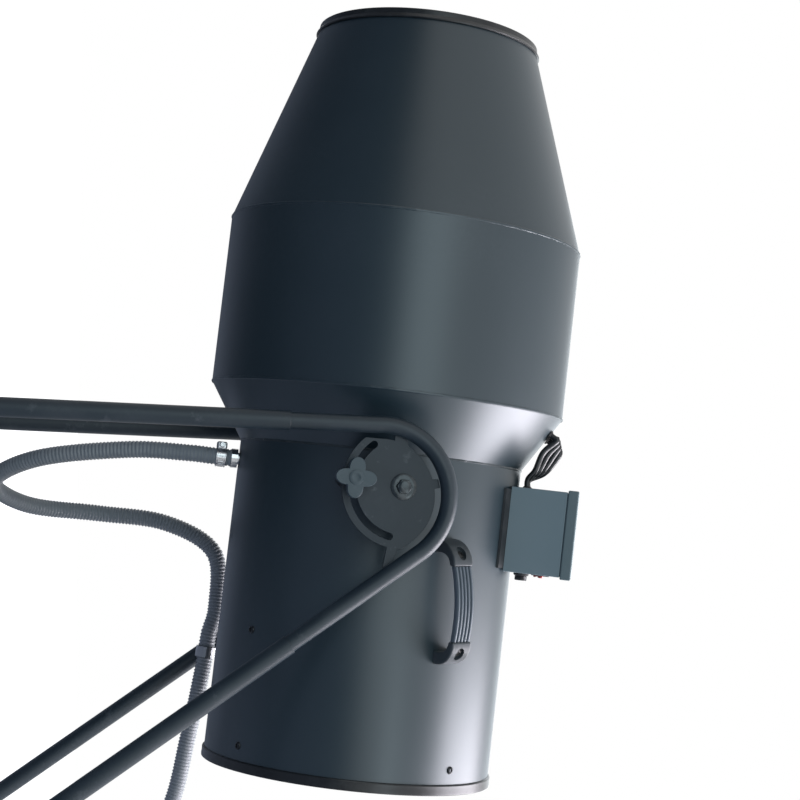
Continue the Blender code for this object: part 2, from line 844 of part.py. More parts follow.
def build_hose(mats):
    to_world = Matrix.Translation((PIVOT_X, 0, PIVOT_HEIGHT)) @ Matrix.Rotation(
        REST_PITCH, 4, "Y"
    )
    skin = AXIS_RISE - REAR_R
    first = to_world @ Vector((-FEED_AHEAD, 0, skin - NIPPLE_COLLAR - GAP))
    down = (to_world.to_3x3() @ Vector((0, 0, -1))).normalized()
    clip, along = clip_frame()
    pivot = Vector((PIVOT_X, 0, PIVOT_HEIGHT))
    loop = [
        first,
        first + down * 0.030,
        first + down * 0.060,
        pivot + Vector((-0.052, 0.004, -0.345)),
        pivot + Vector((-0.040, 0.035, -0.470)),
        pivot + Vector((-0.008, 0.105, -0.535)),
        pivot + Vector((0.026, 0.180, -0.490)),
        pivot + Vector((0.040, 0.224, -0.385)),
        pivot + Vector((0.055, 0.232, -0.285)),
        pivot + Vector((0.100, 0.2315, -0.212)),
        clip - along * 0.070 + Vector((0, 0, 0.0035)),
        clip - along * 0.030,
        clip - along * GAP,
    ]
    loop_route = smooth_route(loop, 0.010)
    ribbed_hose("hose_loop", loop_route, mats["hose"])
    coil = coil_points()
    toward = (coil[0] - coil[1]).normalized()
    run = [
        clip + along * GAP,
        clip + along * 0.030,
        clip + along * 0.130 + Vector((0, 0, -0.004)),
        pivot + Vector((0.490, 0.236, -0.279)),
        pivot + Vector((0.575, 0.246, -0.345)),
        pivot + Vector((0.617, 0.262, -0.460)),
        pivot + Vector((0.655, 0.280, -0.585)),
        Vector((PIVOT_X + 0.715, coil[0].y, coil[0].z + 0.008)),
        coil[0] + toward * 0.040,
        coil[0] + toward * GAP,
    ]
    run_route = smooth_route(run, 0.010)
    run_route = [Vector((p.x, p.y, max(p.z, coil[0].z))) for p in run_route]
    ribbed_hose("hose_run", run_route, mats["hose"])
    curve_tube("hose_coil", coil, HOSE_R, 1, mats["hose"])
    print("least gap in the hose coil, mm:", round(least_gap(coil, HOSE_R) * 1000, 2))
    length = route_length(loop_route) + route_length(run_route) + route_length(coil)
    print("hose length, m:", round(route_length(loop_route), 3), round(route_length(run_route), 3))
    print("hose length in all, m:", round(length, 3))
    build_hose_fitting(coil, mats)
    build_hose_clip(clip, along, mats)


def build_hose_fitting(coil, mats):
    """The coupling on the hose's free end, lying inside the coil."""
    along = (coil[-1] - coil[-2]).normalized()
    profile = [
        (0.0, 0.0100),
        (0.012, 0.0100),
        (0.012, 0.0125),
        (0.034, 0.0125),
        (0.034, 0.0105),
        (0.044, 0.0105),
    ]
    turn = Vector((0, 0, 1)).rotation_difference(along).to_matrix().to_4x4()
    place = Matrix.Translation(coil[-1] + along * GAP) @ turn
    add_mesh("hose_fitting", turned(profile, 12), mats["metal"], matrix=place)


def build_hose_clip(clip, along, mats):
    """A P-clip that holds the hose against the far rear leg."""
    half = 0.008
    bore = HOSE_R + 0.0006
    ring = rod(clip - along * half, clip + along * half, bore + 0.0022, 24)
    body = add_mesh("hose_clip", ring, mats["clip"])
    pad = block(
        (clip.x - 0.008, clip.y + bore, clip.z - 0.009),
        (clip.x + 0.008, SIDE_Y - 0.006, clip.z + 0.009),
    )
    boolean(body, add_mesh("clip_pad_tool", pad), "UNION")
    hole = rod(clip - along * 0.03, clip + along * 0.03, bore, 24)
    boolean(body, add_mesh("clip_hole_tool", hole), "DIFFERENCE")
    back, up = rear_leg_point(CLIP_DROP)
    centre = Vector((PIVOT_X + back, SIDE_Y, PIVOT_HEIGHT + up))
    lean = Vector((math.sin(REAR_LEAN), 0, -math.cos(REAR_LEAN)))
    leg = rod(centre - lean * 0.06, centre + lean * 0.06, LEG_R + GAP, 32)
    boolean(body, add_mesh("clip_leg_tool", leg), "DIFFERENCE")


def build_hose_clamp(mats, tilt):
    """A worm-drive band round the hose's end on the nipple."""
    skin = AXIS_RISE - REAR_R
    top = skin - NIPPLE_COLLAR - 0.008
    inner = HOSE_R + GAP
    band = rod(
        Vector((-FEED_AHEAD, 0, top)), Vector((-FEED_AHEAD, 0, top - CLAMP_WIDTH)), inner + 0.0012, 24
    )
    clamp = add_mesh("hose_clamp", band, mats["metal"], tilt)
    low = top - CLAMP_WIDTH
    housing = block(
        (-FEED_AHEAD - inner - 0.009, -0.008, low - 0.001),
        (-FEED_AHEAD - inner + 0.002, 0.008, top + 0.001),
    )
    boolean(clamp, add_mesh("clamp_housing_tool", housing, parent=tilt), "UNION")
    screw_x = -FEED_AHEAD - inner - 0.0045
    middle = top - CLAMP_WIDTH / 2
    screw = rod(Vector((screw_x, -0.007, middle)), Vector((screw_x, -0.014, middle)), 0.004, 8)
    boolean(clamp, add_mesh("clamp_screw_tool", screw, parent=tilt), "UNION")
    hole = rod(
        Vector((-FEED_AHEAD, 0, top + 0.02)), Vector((-FEED_AHEAD, 0, top - 0.04)), inner, 24
    )
    boolean(clamp, add_mesh("clamp_hole_tool", hole, parent=tilt), "DIFFERENCE")


# Stand: side frames of bent tube on base rails
def bow_points():
    """The bow's centre line in the side plane, from its front end over the bend to its rear end."""
    centre = Vector((BEND_BACK, 0, -BEND_DROP))
    end_drop = SLEEVE_DROP + SLEEVE_OVERLAP
    start = centre + Vector((-math.cos(FRONT_LEAN), 0, -math.sin(FRONT_LEAN))) * -BEND_R * -1
    front_run = (end_drop + start.z) * math.tan(FRONT_LEAN)
    points = [Vector((start.x - front_run, 0, -end_drop))]
    low = math.pi + FRONT_LEAN
    high = REAR_LEAN
    steps = 8
    for i in range(steps + 1):
        angle = low + (high - low) * i / steps
        points.append(centre + Vector((math.cos(angle), 0, math.sin(angle))) * BEND_R)
    back, up = rear_leg_point(end_drop)
    points.append(Vector((back, 0, up)))
    return points


def front_leg_x(drop):
    points = bow_points()
    start, first = points[1], points[0]
    share = (-drop - start.z) / (first.z - start.z)
    return start.x + (first.x - start.x) * share


def build_side(side, label, mats, pivot):
    """One bent side frame with its two plug-in legs, base rail and rubber feet."""
    plane = side * SIDE_Y
    shift = Vector((0, plane, 0))
    bow = [p + shift for p in bow_points()]
    add_mesh("bow_" + label, tube(bow, BOW_R, BOW_R - BOW_WALL, 12), mats["frame"], pivot)
    rail_drop = PIVOT_HEIGHT - RAIL_HEIGHT
    rail_start = Vector((-RAIL_FRONT, plane, -rail_drop))
    rail_end = Vector((RAIL_REAR, plane, -rail_drop))
    bore = BOW_R + GAP
    add_mesh(
        "base_rail_" + label, rod(rail_start, rail_end, LEG_R, 16, bore), mats["frame"], pivot
    )
    seat = rod(rail_start, rail_end, LEG_R + GAP, 16)
    seat_tool = add_mesh("rail_seat_tool_" + label, seat, parent=pivot)
    front_top = Vector((front_leg_x(SLEEVE_DROP), plane, -SLEEVE_DROP))
    front_foot = Vector((front_leg_x(rail_drop), plane, -rail_drop))
    rear_back, rear_up = rear_leg_point(SLEEVE_DROP)
    rear_top = Vector((rear_back, plane, rear_up))
    foot_back, foot_up = rear_leg_point(rail_drop)
    rear_foot = Vector((foot_back, plane, foot_up))
    for name, top, foot in (
        ("front_leg_", front_top, front_foot),
        ("rear_leg_", rear_top, rear_foot),
    ):
        leg = add_mesh(name + label, rod(top, foot, LEG_R, 16, bore), mats["frame"], pivot)
        boolean(leg, seat_tool, "DIFFERENCE")
    for place, back in (("front", -RAIL_FRONT + FOOT_INSET), ("rear", RAIL_REAR - FOOT_INSET)):
        pad = block(
            (back - FOOT_LENGTH / 2, plane - FOOT_WIDTH / 2, -PIVOT_HEIGHT),
            (back + FOOT_LENGTH / 2, plane + FOOT_WIDTH / 2, -rail_drop - 0.002),
        )
        foot = add_mesh("foot_" + place + "_" + label, pad, mats["rubber"], pivot, smooth=False)
        boolean(foot, seat_tool, "DIFFERENCE")


def build_crossbars(mats, pivot):
    drop = PIVOT_HEIGHT - RAIL_HEIGHT
    reach = SIDE_Y - 0.002
    for name, back in (
        ("crossbar_front", -CROSSBAR_FRONT),
        ("crossbar_rear", rear_leg_point(drop)[0] - CROSSBAR_SET_IN),
    ):
        bar = rod(
            Vector((back, -reach, -drop)), Vector((back, reach, -drop)), BOW_R, 16, BOW_R - BOW_WALL
        )
        bar = add_mesh(name, bar, mats["frame"], pivot)
        for label in ("left", "right"):
            boolean(bar, bpy.data.objects["rail_seat_tool_" + label], "DIFFERENCE")


# Pivot plates with their curved clamp slots
def inner_edge(angle):
    """How far the bow's inner edge lies from the pivot, along a ray at angle in the side plane."""
    ray = Vector((math.cos(angle), 0, math.sin(angle)))
    recess = PLATE_INSET - PLATE_THICK / 2
    half = math.sqrt(BOW_R**2 - recess**2)
    points = bow_points()
    best = 1.0
    for a, b in zip(points, points[1:]):
        along = (b - a).normalized()
        inward = Vector((along.z, 0, -along.x))
        p = a + inward * half
        q = b + inward * half
        edge = q - p
        cross = ray.x * edge.z - ray.z * edge.x
        if abs(cross) < 1e-12:
            continue
        reach = (p.x * edge.z - p.z * edge.x) / cross
        share = (p.x * ray.z - p.z * ray.x) / cross
        if reach > 0 and -0.02 <= share <= 1.02:
            best = min(best, reach)
    return best


TABS = (math.radians(-15), math.radians(95), math.radians(182))
TAB_HALF = math.radians(9)


def plate_outline():
    """A disc about the pivot bolt, held off the bow except at three welding tabs."""
    points = []
    count = 60
    for i in range(count):
        angle = 2 * math.pi * i / count
        reach = inner_edge(angle)
        near_tab = any(
            abs((angle - tab + math.pi) % (2 * math.pi) - math.pi) < TAB_HALF for tab in TABS
        )
        radius = min(PLATE_R, reach - PLATE_SLIT)
        if near_tab and reach < PLATE_R + 0.030:
            radius = reach - GAP - 0.0004
        points.append((radius * math.cos(angle), radius * math.sin(angle)))
    return points


def slot_outline():
    """The clamp slot's outline; angles run from straight down, positive towards the outlet."""
    half = SLOT_WIDTH / 2

    def at(angle, radius):
        return (-radius * math.sin(angle), -radius * math.cos(angle))

    points = []
    steps = 12
    for i in range(steps + 1):
        angle = SLOT_REAR + (SLOT_FRONT - SLOT_REAR) * i / steps
        points.append(at(angle, SLOT_R + half))
    for end, flip in ((SLOT_FRONT, 1), (SLOT_REAR, -1)):
        centre = at(end, SLOT_R)
        for i in range(1, 6):
            turn = end + flip * math.pi * i / 6 + (0 if flip > 0 else math.pi)
            points.append((centre[0] - half * math.sin(turn), centre[1] - half * math.cos(turn)))
        if flip > 0:
            for i in range(steps + 1):
                angle = SLOT_FRONT + (SLOT_REAR - SLOT_FRONT) * i / steps
                points.append(at(angle, SLOT_R - half))
    return points


def side_matrix(side, plane):
    """Carries a flat outline (back, up) with its height along Z to the side plane, facing out."""
    turn = Matrix(((1, 0, 0, 0), (0, 0, side, 0), (0, 1, 0, 0), (0, 0, 0, 1)))
    return Matrix.Translation((0, side * plane, 0)) @ turn


def plate_planes():
    outer = SIDE_Y - PLATE_INSET + PLATE_THICK / 2
    return outer - PLATE_THICK, outer


def build_plate(side, label, mats, pivot):
    inner, outer = plate_planes()
    place = side_matrix(side, 0)
    bm = prism(plate_outline(), inner, outer)
    bm.transform(place)
    plate = add_mesh("pivot_plate_" + label, bm, mats["plate"], pivot)
    slot = prism(slot_outline(), inner - 0.01, outer + 0.01)
    slot.transform(place)
    boolean(plate, add_mesh("slot_tool_" + label, slot, parent=pivot), "DIFFERENCE")
    hole = prism(circle_points((0, 0), BOLT_R + 0.0005, 24), inner - 0.01, outer + 0.01)
    hole.transform(place)
    boolean(plate, add_mesh("bolt_hole_tool_" + label, hole, parent=pivot), "DIFFERENCE")


# Barrel brackets, pivot bolts and clamp knobs
def stud_spot():
    """The clamp stud's place about the pivot at rest, in the barrel's level frame."""
    angle = STUD_ANGLE - REST_PITCH
    return -SLOT_R * math.sin(angle), -SLOT_R * math.cos(angle)


def bracket_outline(shrink):
    """A tapered link round the pivot bolt and the clamp stud."""
    stud = stud_spot()
    top = 0.030 - shrink
    low = 0.014 - shrink
    lean = math.atan2(stud[1], stud[0])
    spread = math.acos((top - low) / SLOT_R)
    points = circle_points((0, 0), top, 11, lean + spread, 2 * math.pi - 2 * spread)
    return points + circle_points(stud, low, 7, lean - spread, 2 * spread)


def build_bracket(side, label, mats, tilt):
    """A welded box bracket on the barrel wall that carries the bolt and the stud."""
    inner, _ = plate_planes()
    face = SIDE_Y - BOW_R - BRACKET_CLEARANCE
    place = side_matrix(side, 0)
    bm = prism(bracket_outline(0), 0.150, face)
    bm.transform(place)
    bracket = add_mesh("barrel_bracket_" + label, bm, mats["bracket"], tilt)
    pocket = prism(bracket_outline(BRACKET_WALL), 0.140, face - BRACKET_WALL)
    pocket.transform(place)
    boolean(bracket, add_mesh("pocket_tool_" + label, pocket, parent=tilt), "DIFFERENCE")
    boss = prism(circle_points((0, 0), 0.016, 24), face - 0.002, inner - GAP)
    boss.transform(place)
    boolean(bracket, add_mesh("boss_tool_" + label, boss, parent=tilt), "UNION")
    holes = prism(circle_points((0, 0), BOLT_R + GAP, 24), 0.15, inner + 0.01)
    merge(holes, prism(circle_points(stud_spot(), STUD_R + GAP, 16), 0.15, inner + 0.01))
    holes.transform(place)
    boolean(bracket, add_mesh("bracket_hole_tool_" + label, holes, parent=tilt), "DIFFERENCE")
    skin = barrel_plug(-0.1, 0.1, REAR_R + GAP)
    boolean(bracket, add_mesh("bracket_skin_tool_" + label, skin, parent=tilt), "DIFFERENCE")
    return bracket


def build_pivot_bolt(side, label, mats, tilt):
    """A hexagon bolt with a wide flange, screwed into the bracket through the plate."""
    inner, outer = plate_planes()
    tip = SIDE_Y - BOW_R - BRACKET_CLEARANCE - BRACKET_WALL - 0.004
    base = outer + GAP
    profile = [
        (tip, BOLT_R),
        (base, BOLT_R),
        (base, BOLT_FLANGE_R),
        (base + 0.002, BOLT_FLANGE_R),
        (base + 0.0028, BOLT_FLANGE_R - 0.001),
    ]
    bm = turned(profile, 16)
    bm.transform(side_matrix(side, 0))
    bolt = add_mesh("pivot_bolt_" + label, bm, mats["metal"], tilt)
    head = prism(circle_points((0, 0), 0.0108, 6), base + 0.002, base + 0.0105)
    head.transform(side_matrix(side, 0))
    boolean(bolt, add_mesh("bolt_head_tool_" + label, head, parent=tilt), "UNION")


def knob_outline():
    points = []
    count = KNOB_LOBES * 6
    for i in range(count):
        angle = 2 * math.pi * i / count
        wave = 0.5 + 0.5 * math.cos(KNOB_LOBES * angle)
        radius = KNOB_R * (0.50 + 0.50 * wave**0.8)
        points.append((radius * math.cos(angle), radius * math.sin(angle)))
    return points


def build_knob(side, label, mats, tilt):
    """A star knob with its stud; its axis is the stud's."""
    inner, outer = plate_planes()
    tip = SIDE_Y - BOW_R - BRACKET_CLEARANCE - BRACKET_WALL - 0.004
    under = SIDE_Y + BOW_R + 0.0015
    spot = stud_spot()
    axle = empty("knob_axis_" + label, (spot[0], 0, spot[1]), parent=tilt)
    profile = [
        (tip, STUD_R),
        (outer + GAP, STUD_R),
        (outer + GAP, 0.0115),
        (outer + 0.0020, 0.0115),
        (outer + 0.0035, 0.0085),
        (under + 0.004, 0.0085),
    ]
    bm = turned(profile, 16)
    bm.transform(side_matrix(side, 0))
    knob = add_mesh("clamp_knob_" + label, bm, mats["knob"], axle)
    head = prism(knob_outline(), under, under + KNOB_THICK)
    rim_edges = [e for e in head.edges if abs(e.verts[0].co.z - e.verts[1].co.z) < 1e-6]
    bmesh.ops.bevel(head, geom=rim_edges, offset=0.0022, segments=1, affect="EDGES")
    head.transform(side_matrix(side, 0))
    boolean(knob, add_mesh("knob_head_tool_" + label, head, parent=axle), "UNION")


# Strap handles
def handle_matrix(side):
    """From the handle's frame (ahead along +X, round along +Y, outward along +Z)."""
    out = Vector((0, side * math.cos(HANDLE_ANGLE), math.sin(HANDLE_ANGLE)))
    ahead = Vector((-1, 0, 0))
    round_ = out.cross(ahead)
    turn = Matrix((ahead, round_, out)).transposed().to_4x4()
    skew = Matrix.Rotation(-HANDLE_SKEW * side, 4, "Z")
    return Matrix.Translation((-HANDLE_CENTRE, 0, AXIS_RISE)) @ turn @ skew


def cap_outline():
    """Side outline of a handle's end cap as (along from the middle, radius)."""
    foot = REAR_R - 0.012
    top = REAR_R + HANDLE_STANDOFF + GRIP_THICK * 0.5
    end = HANDLE_HALF
    return [
        (end + 0.003, foot),
        (end + 0.003, REAR_R + 0.008),
        (end, REAR_R + 0.022),
        (end - 0.010, top - 0.008),
        (end - 0.022, top),
        (end - 0.030, top + 0.0005),
        (end - 0.030, top - GRIP_THICK - 0.002),
        (end - 0.020, top - GRIP_THICK - 0.004),
        (end - 0.014, REAR_R + 0.018),
        (end - 0.014, foot),
    ]


def build_handle(side, label, mats, tilt):
    place = handle_matrix(side)
    skin = barrel_plug(HANDLE_CENTRE - 0.15, HANDLE_CENTRE + 0.15, REAR_R + GAP)
    skin_tool = add_mesh("handle_skin_tool_" + label, skin, parent=tilt)
    upright = Matrix(((1, 0, 0, 0), (0, 0, 1, 0), (0, 1, 0, 0), (0, 0, 0, 1)))
    for where, flip in (("front", 1), ("rear", -1)):
        bm = prism(cap_outline(), -HANDLE_WIDTH / 2, HANDLE_WIDTH / 2)
        bm.transform(upright)
        bmesh.ops.scale(bm, vec=(flip, 1, 1), verts=bm.verts)
        sides = [e for e in bm.edges if abs(e.verts[0].co.y - e.verts[1].co.y) < 1e-6]
        bmesh.ops.bevel(bm, geom=sides, offset=0.0020, segments=1, affect="EDGES")
        bm.transform(place)
        cap = add_mesh("handle_" + where + "_cap_" + label, bm, mats["grip"], tilt)
        boolean(cap, skin_tool, "DIFFERENCE")
        spot = Vector((flip * (HANDLE_HALF - 0.0125), 0, REAR_R + HANDLE_STANDOFF - 0.0035))
        dent = rod(Vector((0, 0, -0.003)), Vector((0, 0, 0.02)), 0.0065, 16)
        bmesh.ops.scale(dent, vec=(1.35, 1, 1), verts=dent.verts)
        dent.transform(Matrix.Rotation(flip * math.radians(38), 4, "Y"))
        bmesh.ops.translate(dent, vec=spot, verts=dent.verts)
        dent.transform(place)
        boolean(cap, add_mesh("cap_dent_tool_" + where + label, dent, parent=tilt), "DIFFERENCE")
    build_grip(label, place, mats, tilt)


def build_grip(label, place, mats, tilt):
    """The bowed strap between the caps, with ridges along its outer face."""
    section = [(-GRIP_WIDTH / 2, -GRIP_THICK / 2), (GRIP_WIDTH / 2, -GRIP_THICK / 2)]
    ridges = 5
    pitch = GRIP_WIDTH / ridges
    for i in range(ridges):
        start = GRIP_WIDTH / 2 - pitch * i
        for share, depth in ((0.12, 0.0016), (0.3, 0.0), (0.7, 0.0), (0.88, 0.0016)):
            section.append((start - pitch * share, GRIP_THICK / 2 - depth))
    bm = bmesh.new()
    half = HANDLE_HALF - 0.030 - GAP
    stations = 8
    loops = []
    for i in range(stations + 1):
        along = half * (2 * i / stations - 1)
        lift = REAR_R + HANDLE_STANDOFF + GRIP_BOW * (1 - (along / half) ** 2) - 0.0004
        loops.append([bm.verts.new((along, y, lift + z)) for y, z in section])
    for first, second in zip(loops, loops[1:]):
        bridge(bm, first, second)
    bm.faces.new(loops[0])
    bm.faces.new(loops[-1])
    bm.transform(place)
    add_mesh("handle_grip_" + label, bm, mats["grip"], tilt)


# Control box on its saddle, with its controls and cables
def box_matrix():
    """From the box's frame (ahead +X, round towards the side +Y, outward +Z) to the barrel."""
    out = Vector((0, -math.cos(BOX_ANGLE), math.sin(BOX_ANGLE)))
    ahead = Vector((-1, 0, 0))
    round_ = out.cross(ahead)
    return Matrix.Translation((0, 0, AXIS_RISE)) @ Matrix((ahead, round_, out)).transposed().to_4x4()


def build_box(mats, tilt):
    place = box_matrix()
    half = BOX_WIDTH / 2
    top = BOX_TOP
    seat_r = REAR_R + GAP + SADDLE_THICK
    body = block((BOX_REAR, -half, seat_r - 0.020), (BOX_FRONT, half, top), 0.0015)
    body.transform(place)
    body = add_mesh("control_box", body, mats["box"], tilt, smooth=False)
    inside = block(
        (BOX_REAR + BOX_SHEET, -half + BOX_SHEET, seat_r - 0.030),
        (BOX_FRONT - BOX_SHEET, half - BOX_SHEET, top + 0.01),
    )
    inside.transform(place)
    boolean(body, add_mesh("box_inside_tool", inside, parent=tilt), "DIFFERENCE")
    seat = barrel_plug(BOX_REAR - 0.05, BOX_FRONT + 0.05, seat_r + GAP)
    boolean(body, add_mesh("box_seat_tool", seat, parent=tilt), "DIFFERENCE")
    pocket = block(
        (BOX_REAR - 0.01, SWITCH_SIDE - 0.0062, SWITCH_OUT - 0.0103),
        (BOX_REAR + 0.016, SWITCH_SIDE + 0.0062, SWITCH_OUT + 0.0103),
    )
    pocket.transform(place)
    boolean(body, add_mesh("switch_pocket_tool", pocket, parent=tilt), "DIFFERENCE")
    over = LID_OVERHANG
    lid = block(
        (BOX_REAR - over, -half - over, top + GAP),
        (BOX_FRONT + over, half + over, top + GAP + LID_HEIGHT),
        0.0020,
    )
    lid.transform(place)
    add_mesh("box_lid", lid, mats["box"], tilt, smooth=False)
    saddle = block(
        (BOX_REAR + 0.004, -SADDLE_WIDTH / 2, REAR_R - 0.050),
        (BOX_FRONT - 0.004, SADDLE_WIDTH / 2, REAR_R + 0.050),
    )
    saddle.transform(place)
    saddle = add_mesh("box_saddle", saddle, mats["bracket"], tilt)
    crown = barrel_plug(BOX_REAR - 0.05, BOX_FRONT + 0.05, seat_r)
    boolean(saddle, add_mesh("saddle_crown_tool", crown, parent=tilt), "INTERSECT")
    skin = barrel_plug(BOX_REAR - 0.06, BOX_FRONT + 0.06, REAR_R + GAP)
    boolean(saddle, add_mesh("saddle_skin_tool", skin, parent=tilt), "DIFFERENCE")
    build_box_controls(place, mats, tilt)
    build_cables(place, mats, tilt)


SWITCH_SIDE = -0.004
SWITCH_OUT = REAR_R + 0.0425
INLET_SIDE = 0.036
INLET_OUT = REAR_R + 0.0170
LAMP_SIDE = -0.036
LAMP_OUT = REAR_R + 0.0425
ROCKER_TILT = math.radians(9)


def build_box_controls(place, mats, tilt):
    """On the box's rear wall: the power inlet, a rocker switch and its lamp."""
    wall = BOX_REAR - GAP
    back = Matrix(((0, 0, -1, 0), (1, 0, 0, 0), (0, 1, 0, 0), (0, 0, 0, 1)))
    inlet = turned([(0, 0.0105), (0.003, 0.0105), (0.004, 0.0085), (0.010, 0.0085)], 16)
    inlet.transform(place @ Matrix.Translation((wall, INLET_SIDE, INLET_OUT)) @ back)
    add_mesh("power_inlet", inlet, mats["plastic"], tilt)
    lamp = turned([(0, 0.0060), (0.002, 0.0060), (0.0025, 0.0045), (0.006, 0.0035)], 16)
    lamp.transform(place @ Matrix.Translation((wall, LAMP_SIDE, LAMP_OUT)) @ back)
    add_mesh("switch_lamp", lamp, mats["lamp"], tilt)
    bezel = block(
        (wall - 0.0020, SWITCH_SIDE - 0.0085, SWITCH_OUT - 0.0125),
        (wall, SWITCH_SIDE + 0.0085, SWITCH_OUT + 0.0125),
    )
    bezel.transform(place)
    bezel = add_mesh("switch_bezel", bezel, mats["plastic"], tilt, smooth=False)
    window = block(
        (wall - 0.01, SWITCH_SIDE - 0.0062, SWITCH_OUT - 0.0103),
        (wall + 0.01, SWITCH_SIDE + 0.0062, SWITCH_OUT + 0.0103),
    )
    window.transform(place)
    boolean(bezel, add_mesh("bezel_window_tool", window, parent=tilt), "DIFFERENCE")
    outline = circle_points((0, 0), 0.0098, 7, math.pi - 0.36, 0.72)
    outline += [(-0.004, -0.0070), (0.004, -0.0070)]
    outline += circle_points((0, 0), 0.0098, 7, -0.36, 0.72)
    outline += [(0.0, 0.0022)]
    rocker = prism(outline, -0.0058, 0.0058)
    spin = empty("rocker_axis", (0, 0, 0), parent=tilt)
    pose = place @ Matrix.Translation((wall + 0.0005, SWITCH_SIDE, SWITCH_OUT))
    # The rocker's outline is (outward, rearward), turned about the axis across the box.
    lay = Matrix(((0, -1, 0, 0), (0, 0, 1, 0), (1, 0, 0, 0), (0, 0, 0, 1)))
    spin.matrix_basis = pose @ Matrix.Rotation(ROCKER_TILT, 4, "Y")
    rocker.transform(lay)
    add_mesh("switch_rocker", rocker, mats["rocker"], spin, smooth=False)


def build_cables(place, mats, tilt):
    """Black cables that leave the box's front wall side by side and arch over to the flare."""
    slope = math.atan2(DRUM_R - REAR_R, DRUM_REAR - NECK)
    sides = (0.018, 0.006, -0.006, -0.018)
    ends = [NECK + (DRUM_REAR - NECK) * share for share in (0.705, 0.680, 0.654, 0.628)]
    arches = (1.0, 0.70, 0.44, 0.22)
    for i in range(CABLES):
        side, end, arch = sides[i], ends[i], arches[i]
        polar = math.asin(side / flare_radius(end))
        out = Vector((0, math.sin(polar), math.cos(polar)))
        normal = Vector((-math.sin(slope), 0, 0)) + out * math.cos(slope)
        foot = Vector((end, 0, 0)) + out * (flare_radius(end) + GAP) + normal * 0.0006
        begin = Vector((BOX_FRONT + GAP, side, REAR_R + 0.0120))
        lift = Vector((0.001, 0, 0.0145)) * arch
        crest = Vector((0.001, 0, 0.0245)) * arch
        route = [
            begin,
            begin + Vector((0.013, 0, 0)),
            begin.lerp(foot, 1 / 3) + lift,
            begin.lerp(foot, 2 / 3) + crest,
            foot + normal * (0.013 + 0.009 * arch),
            foot + normal * 0.009,
            foot,
        ]
        points = [place @ p for p in smooth_route(route, 0.009)]
        curve_tube("cable_" + str(i + 1), points, CABLE_R, 1, mats["cable"], tilt)


def build_materials():
    return {
        "barrel": material("barrel_paint", (0.030, 0.042, 0.046), 0.38),
        "rim": material("rim_paint", (0.012, 0.013, 0.014), 0.45),
        "frame": material("frame_paint", (0.020, 0.024, 0.026), 0.48),
        "plate": material("plate_paint", (0.030, 0.034, 0.036), 0.50),
        "bracket": material("bracket_paint", (0.016, 0.018, 0.020), 0.50),
        "guard": material("guard_paint", (0.020, 0.022, 0.024), 0.40),
        "motor": material("motor_paint", (0.10, 0.11, 0.12), 0.45, 0.3),
        "fan": material("fan_metal", (0.45, 0.46, 0.47), 0.35, 0.9),
        "metal": material("plated_steel", (0.55, 0.56, 0.58), 0.28, 1.0),
        "knob": material("knob_plastic", (0.035, 0.042, 0.044), 0.42),
        "grip": material("grip_plastic", (0.050, 0.055, 0.058), 0.55),
        "box": material("box_paint", (0.075, 0.088, 0.092), 0.42),
        "plastic": material("black_plastic", (0.018, 0.018, 0.020), 0.40),
        "rocker": material("rocker_plastic", (0.35, 0.03, 0.03), 0.35),
        "lamp": material("lamp_plastic", (0.30, 0.05, 0.04), 0.25),
        "cable": material("cable_jacket", (0.012, 0.012, 0.014), 0.45),
        "hose": material("hose_plastic", (0.27, 0.29, 0.31), 0.40),
        "clip": material("clip_metal", (0.40, 0.41, 0.42), 0.35, 0.9),
        "rubber": material("foot_rubber", (0.015, 0.015, 0.016), 0.75),
    }


def main():
    clear_scene()
    mats = build_materials()
    pivot = empty("stand_pivot", (PIVOT_X, 0, PIVOT_HEIGHT))
    tilt = empty("tilt_axis", (PIVOT_X, 0, PIVOT_HEIGHT), (0, REST_PITCH, 0))
    axle = empty("fan_axle", (-FAN_STATION, 0, AXIS_RISE), parent=tilt)
    bpy.context.view_layer.update()
    build_shells(mats, tilt)
    build_rims(mats, tilt)
    build_guard(mats, tilt)
    build_motor(mats, tilt)
    build_motor_mount("motor_mount_rear", MOUNT_REAR, mats, tilt)
    build_motor_mount("motor_mount_front", MOUNT_FRONT, mats, tilt)
    build_fan(mats, axle)
    build_nipple(mats, tilt)
    build_spray_ring(mats, tilt)
    build_screen(mats, tilt)
    build_hose(mats)
    build_hose_clamp(mats, tilt)
    for side, label in ((-1, "left"), (1, "right")):
        build_side(side, label, mats, pivot)
        build_plate(side, label, mats, pivot)
        build_bracket(side, label, mats, tilt)
        build_pivot_bolt(side, label, mats, tilt)
        build_knob(side, label, mats, tilt)
        build_handle(side, label, mats, tilt)
    build_crossbars(mats, pivot)
    build_box(mats, tilt)


main()
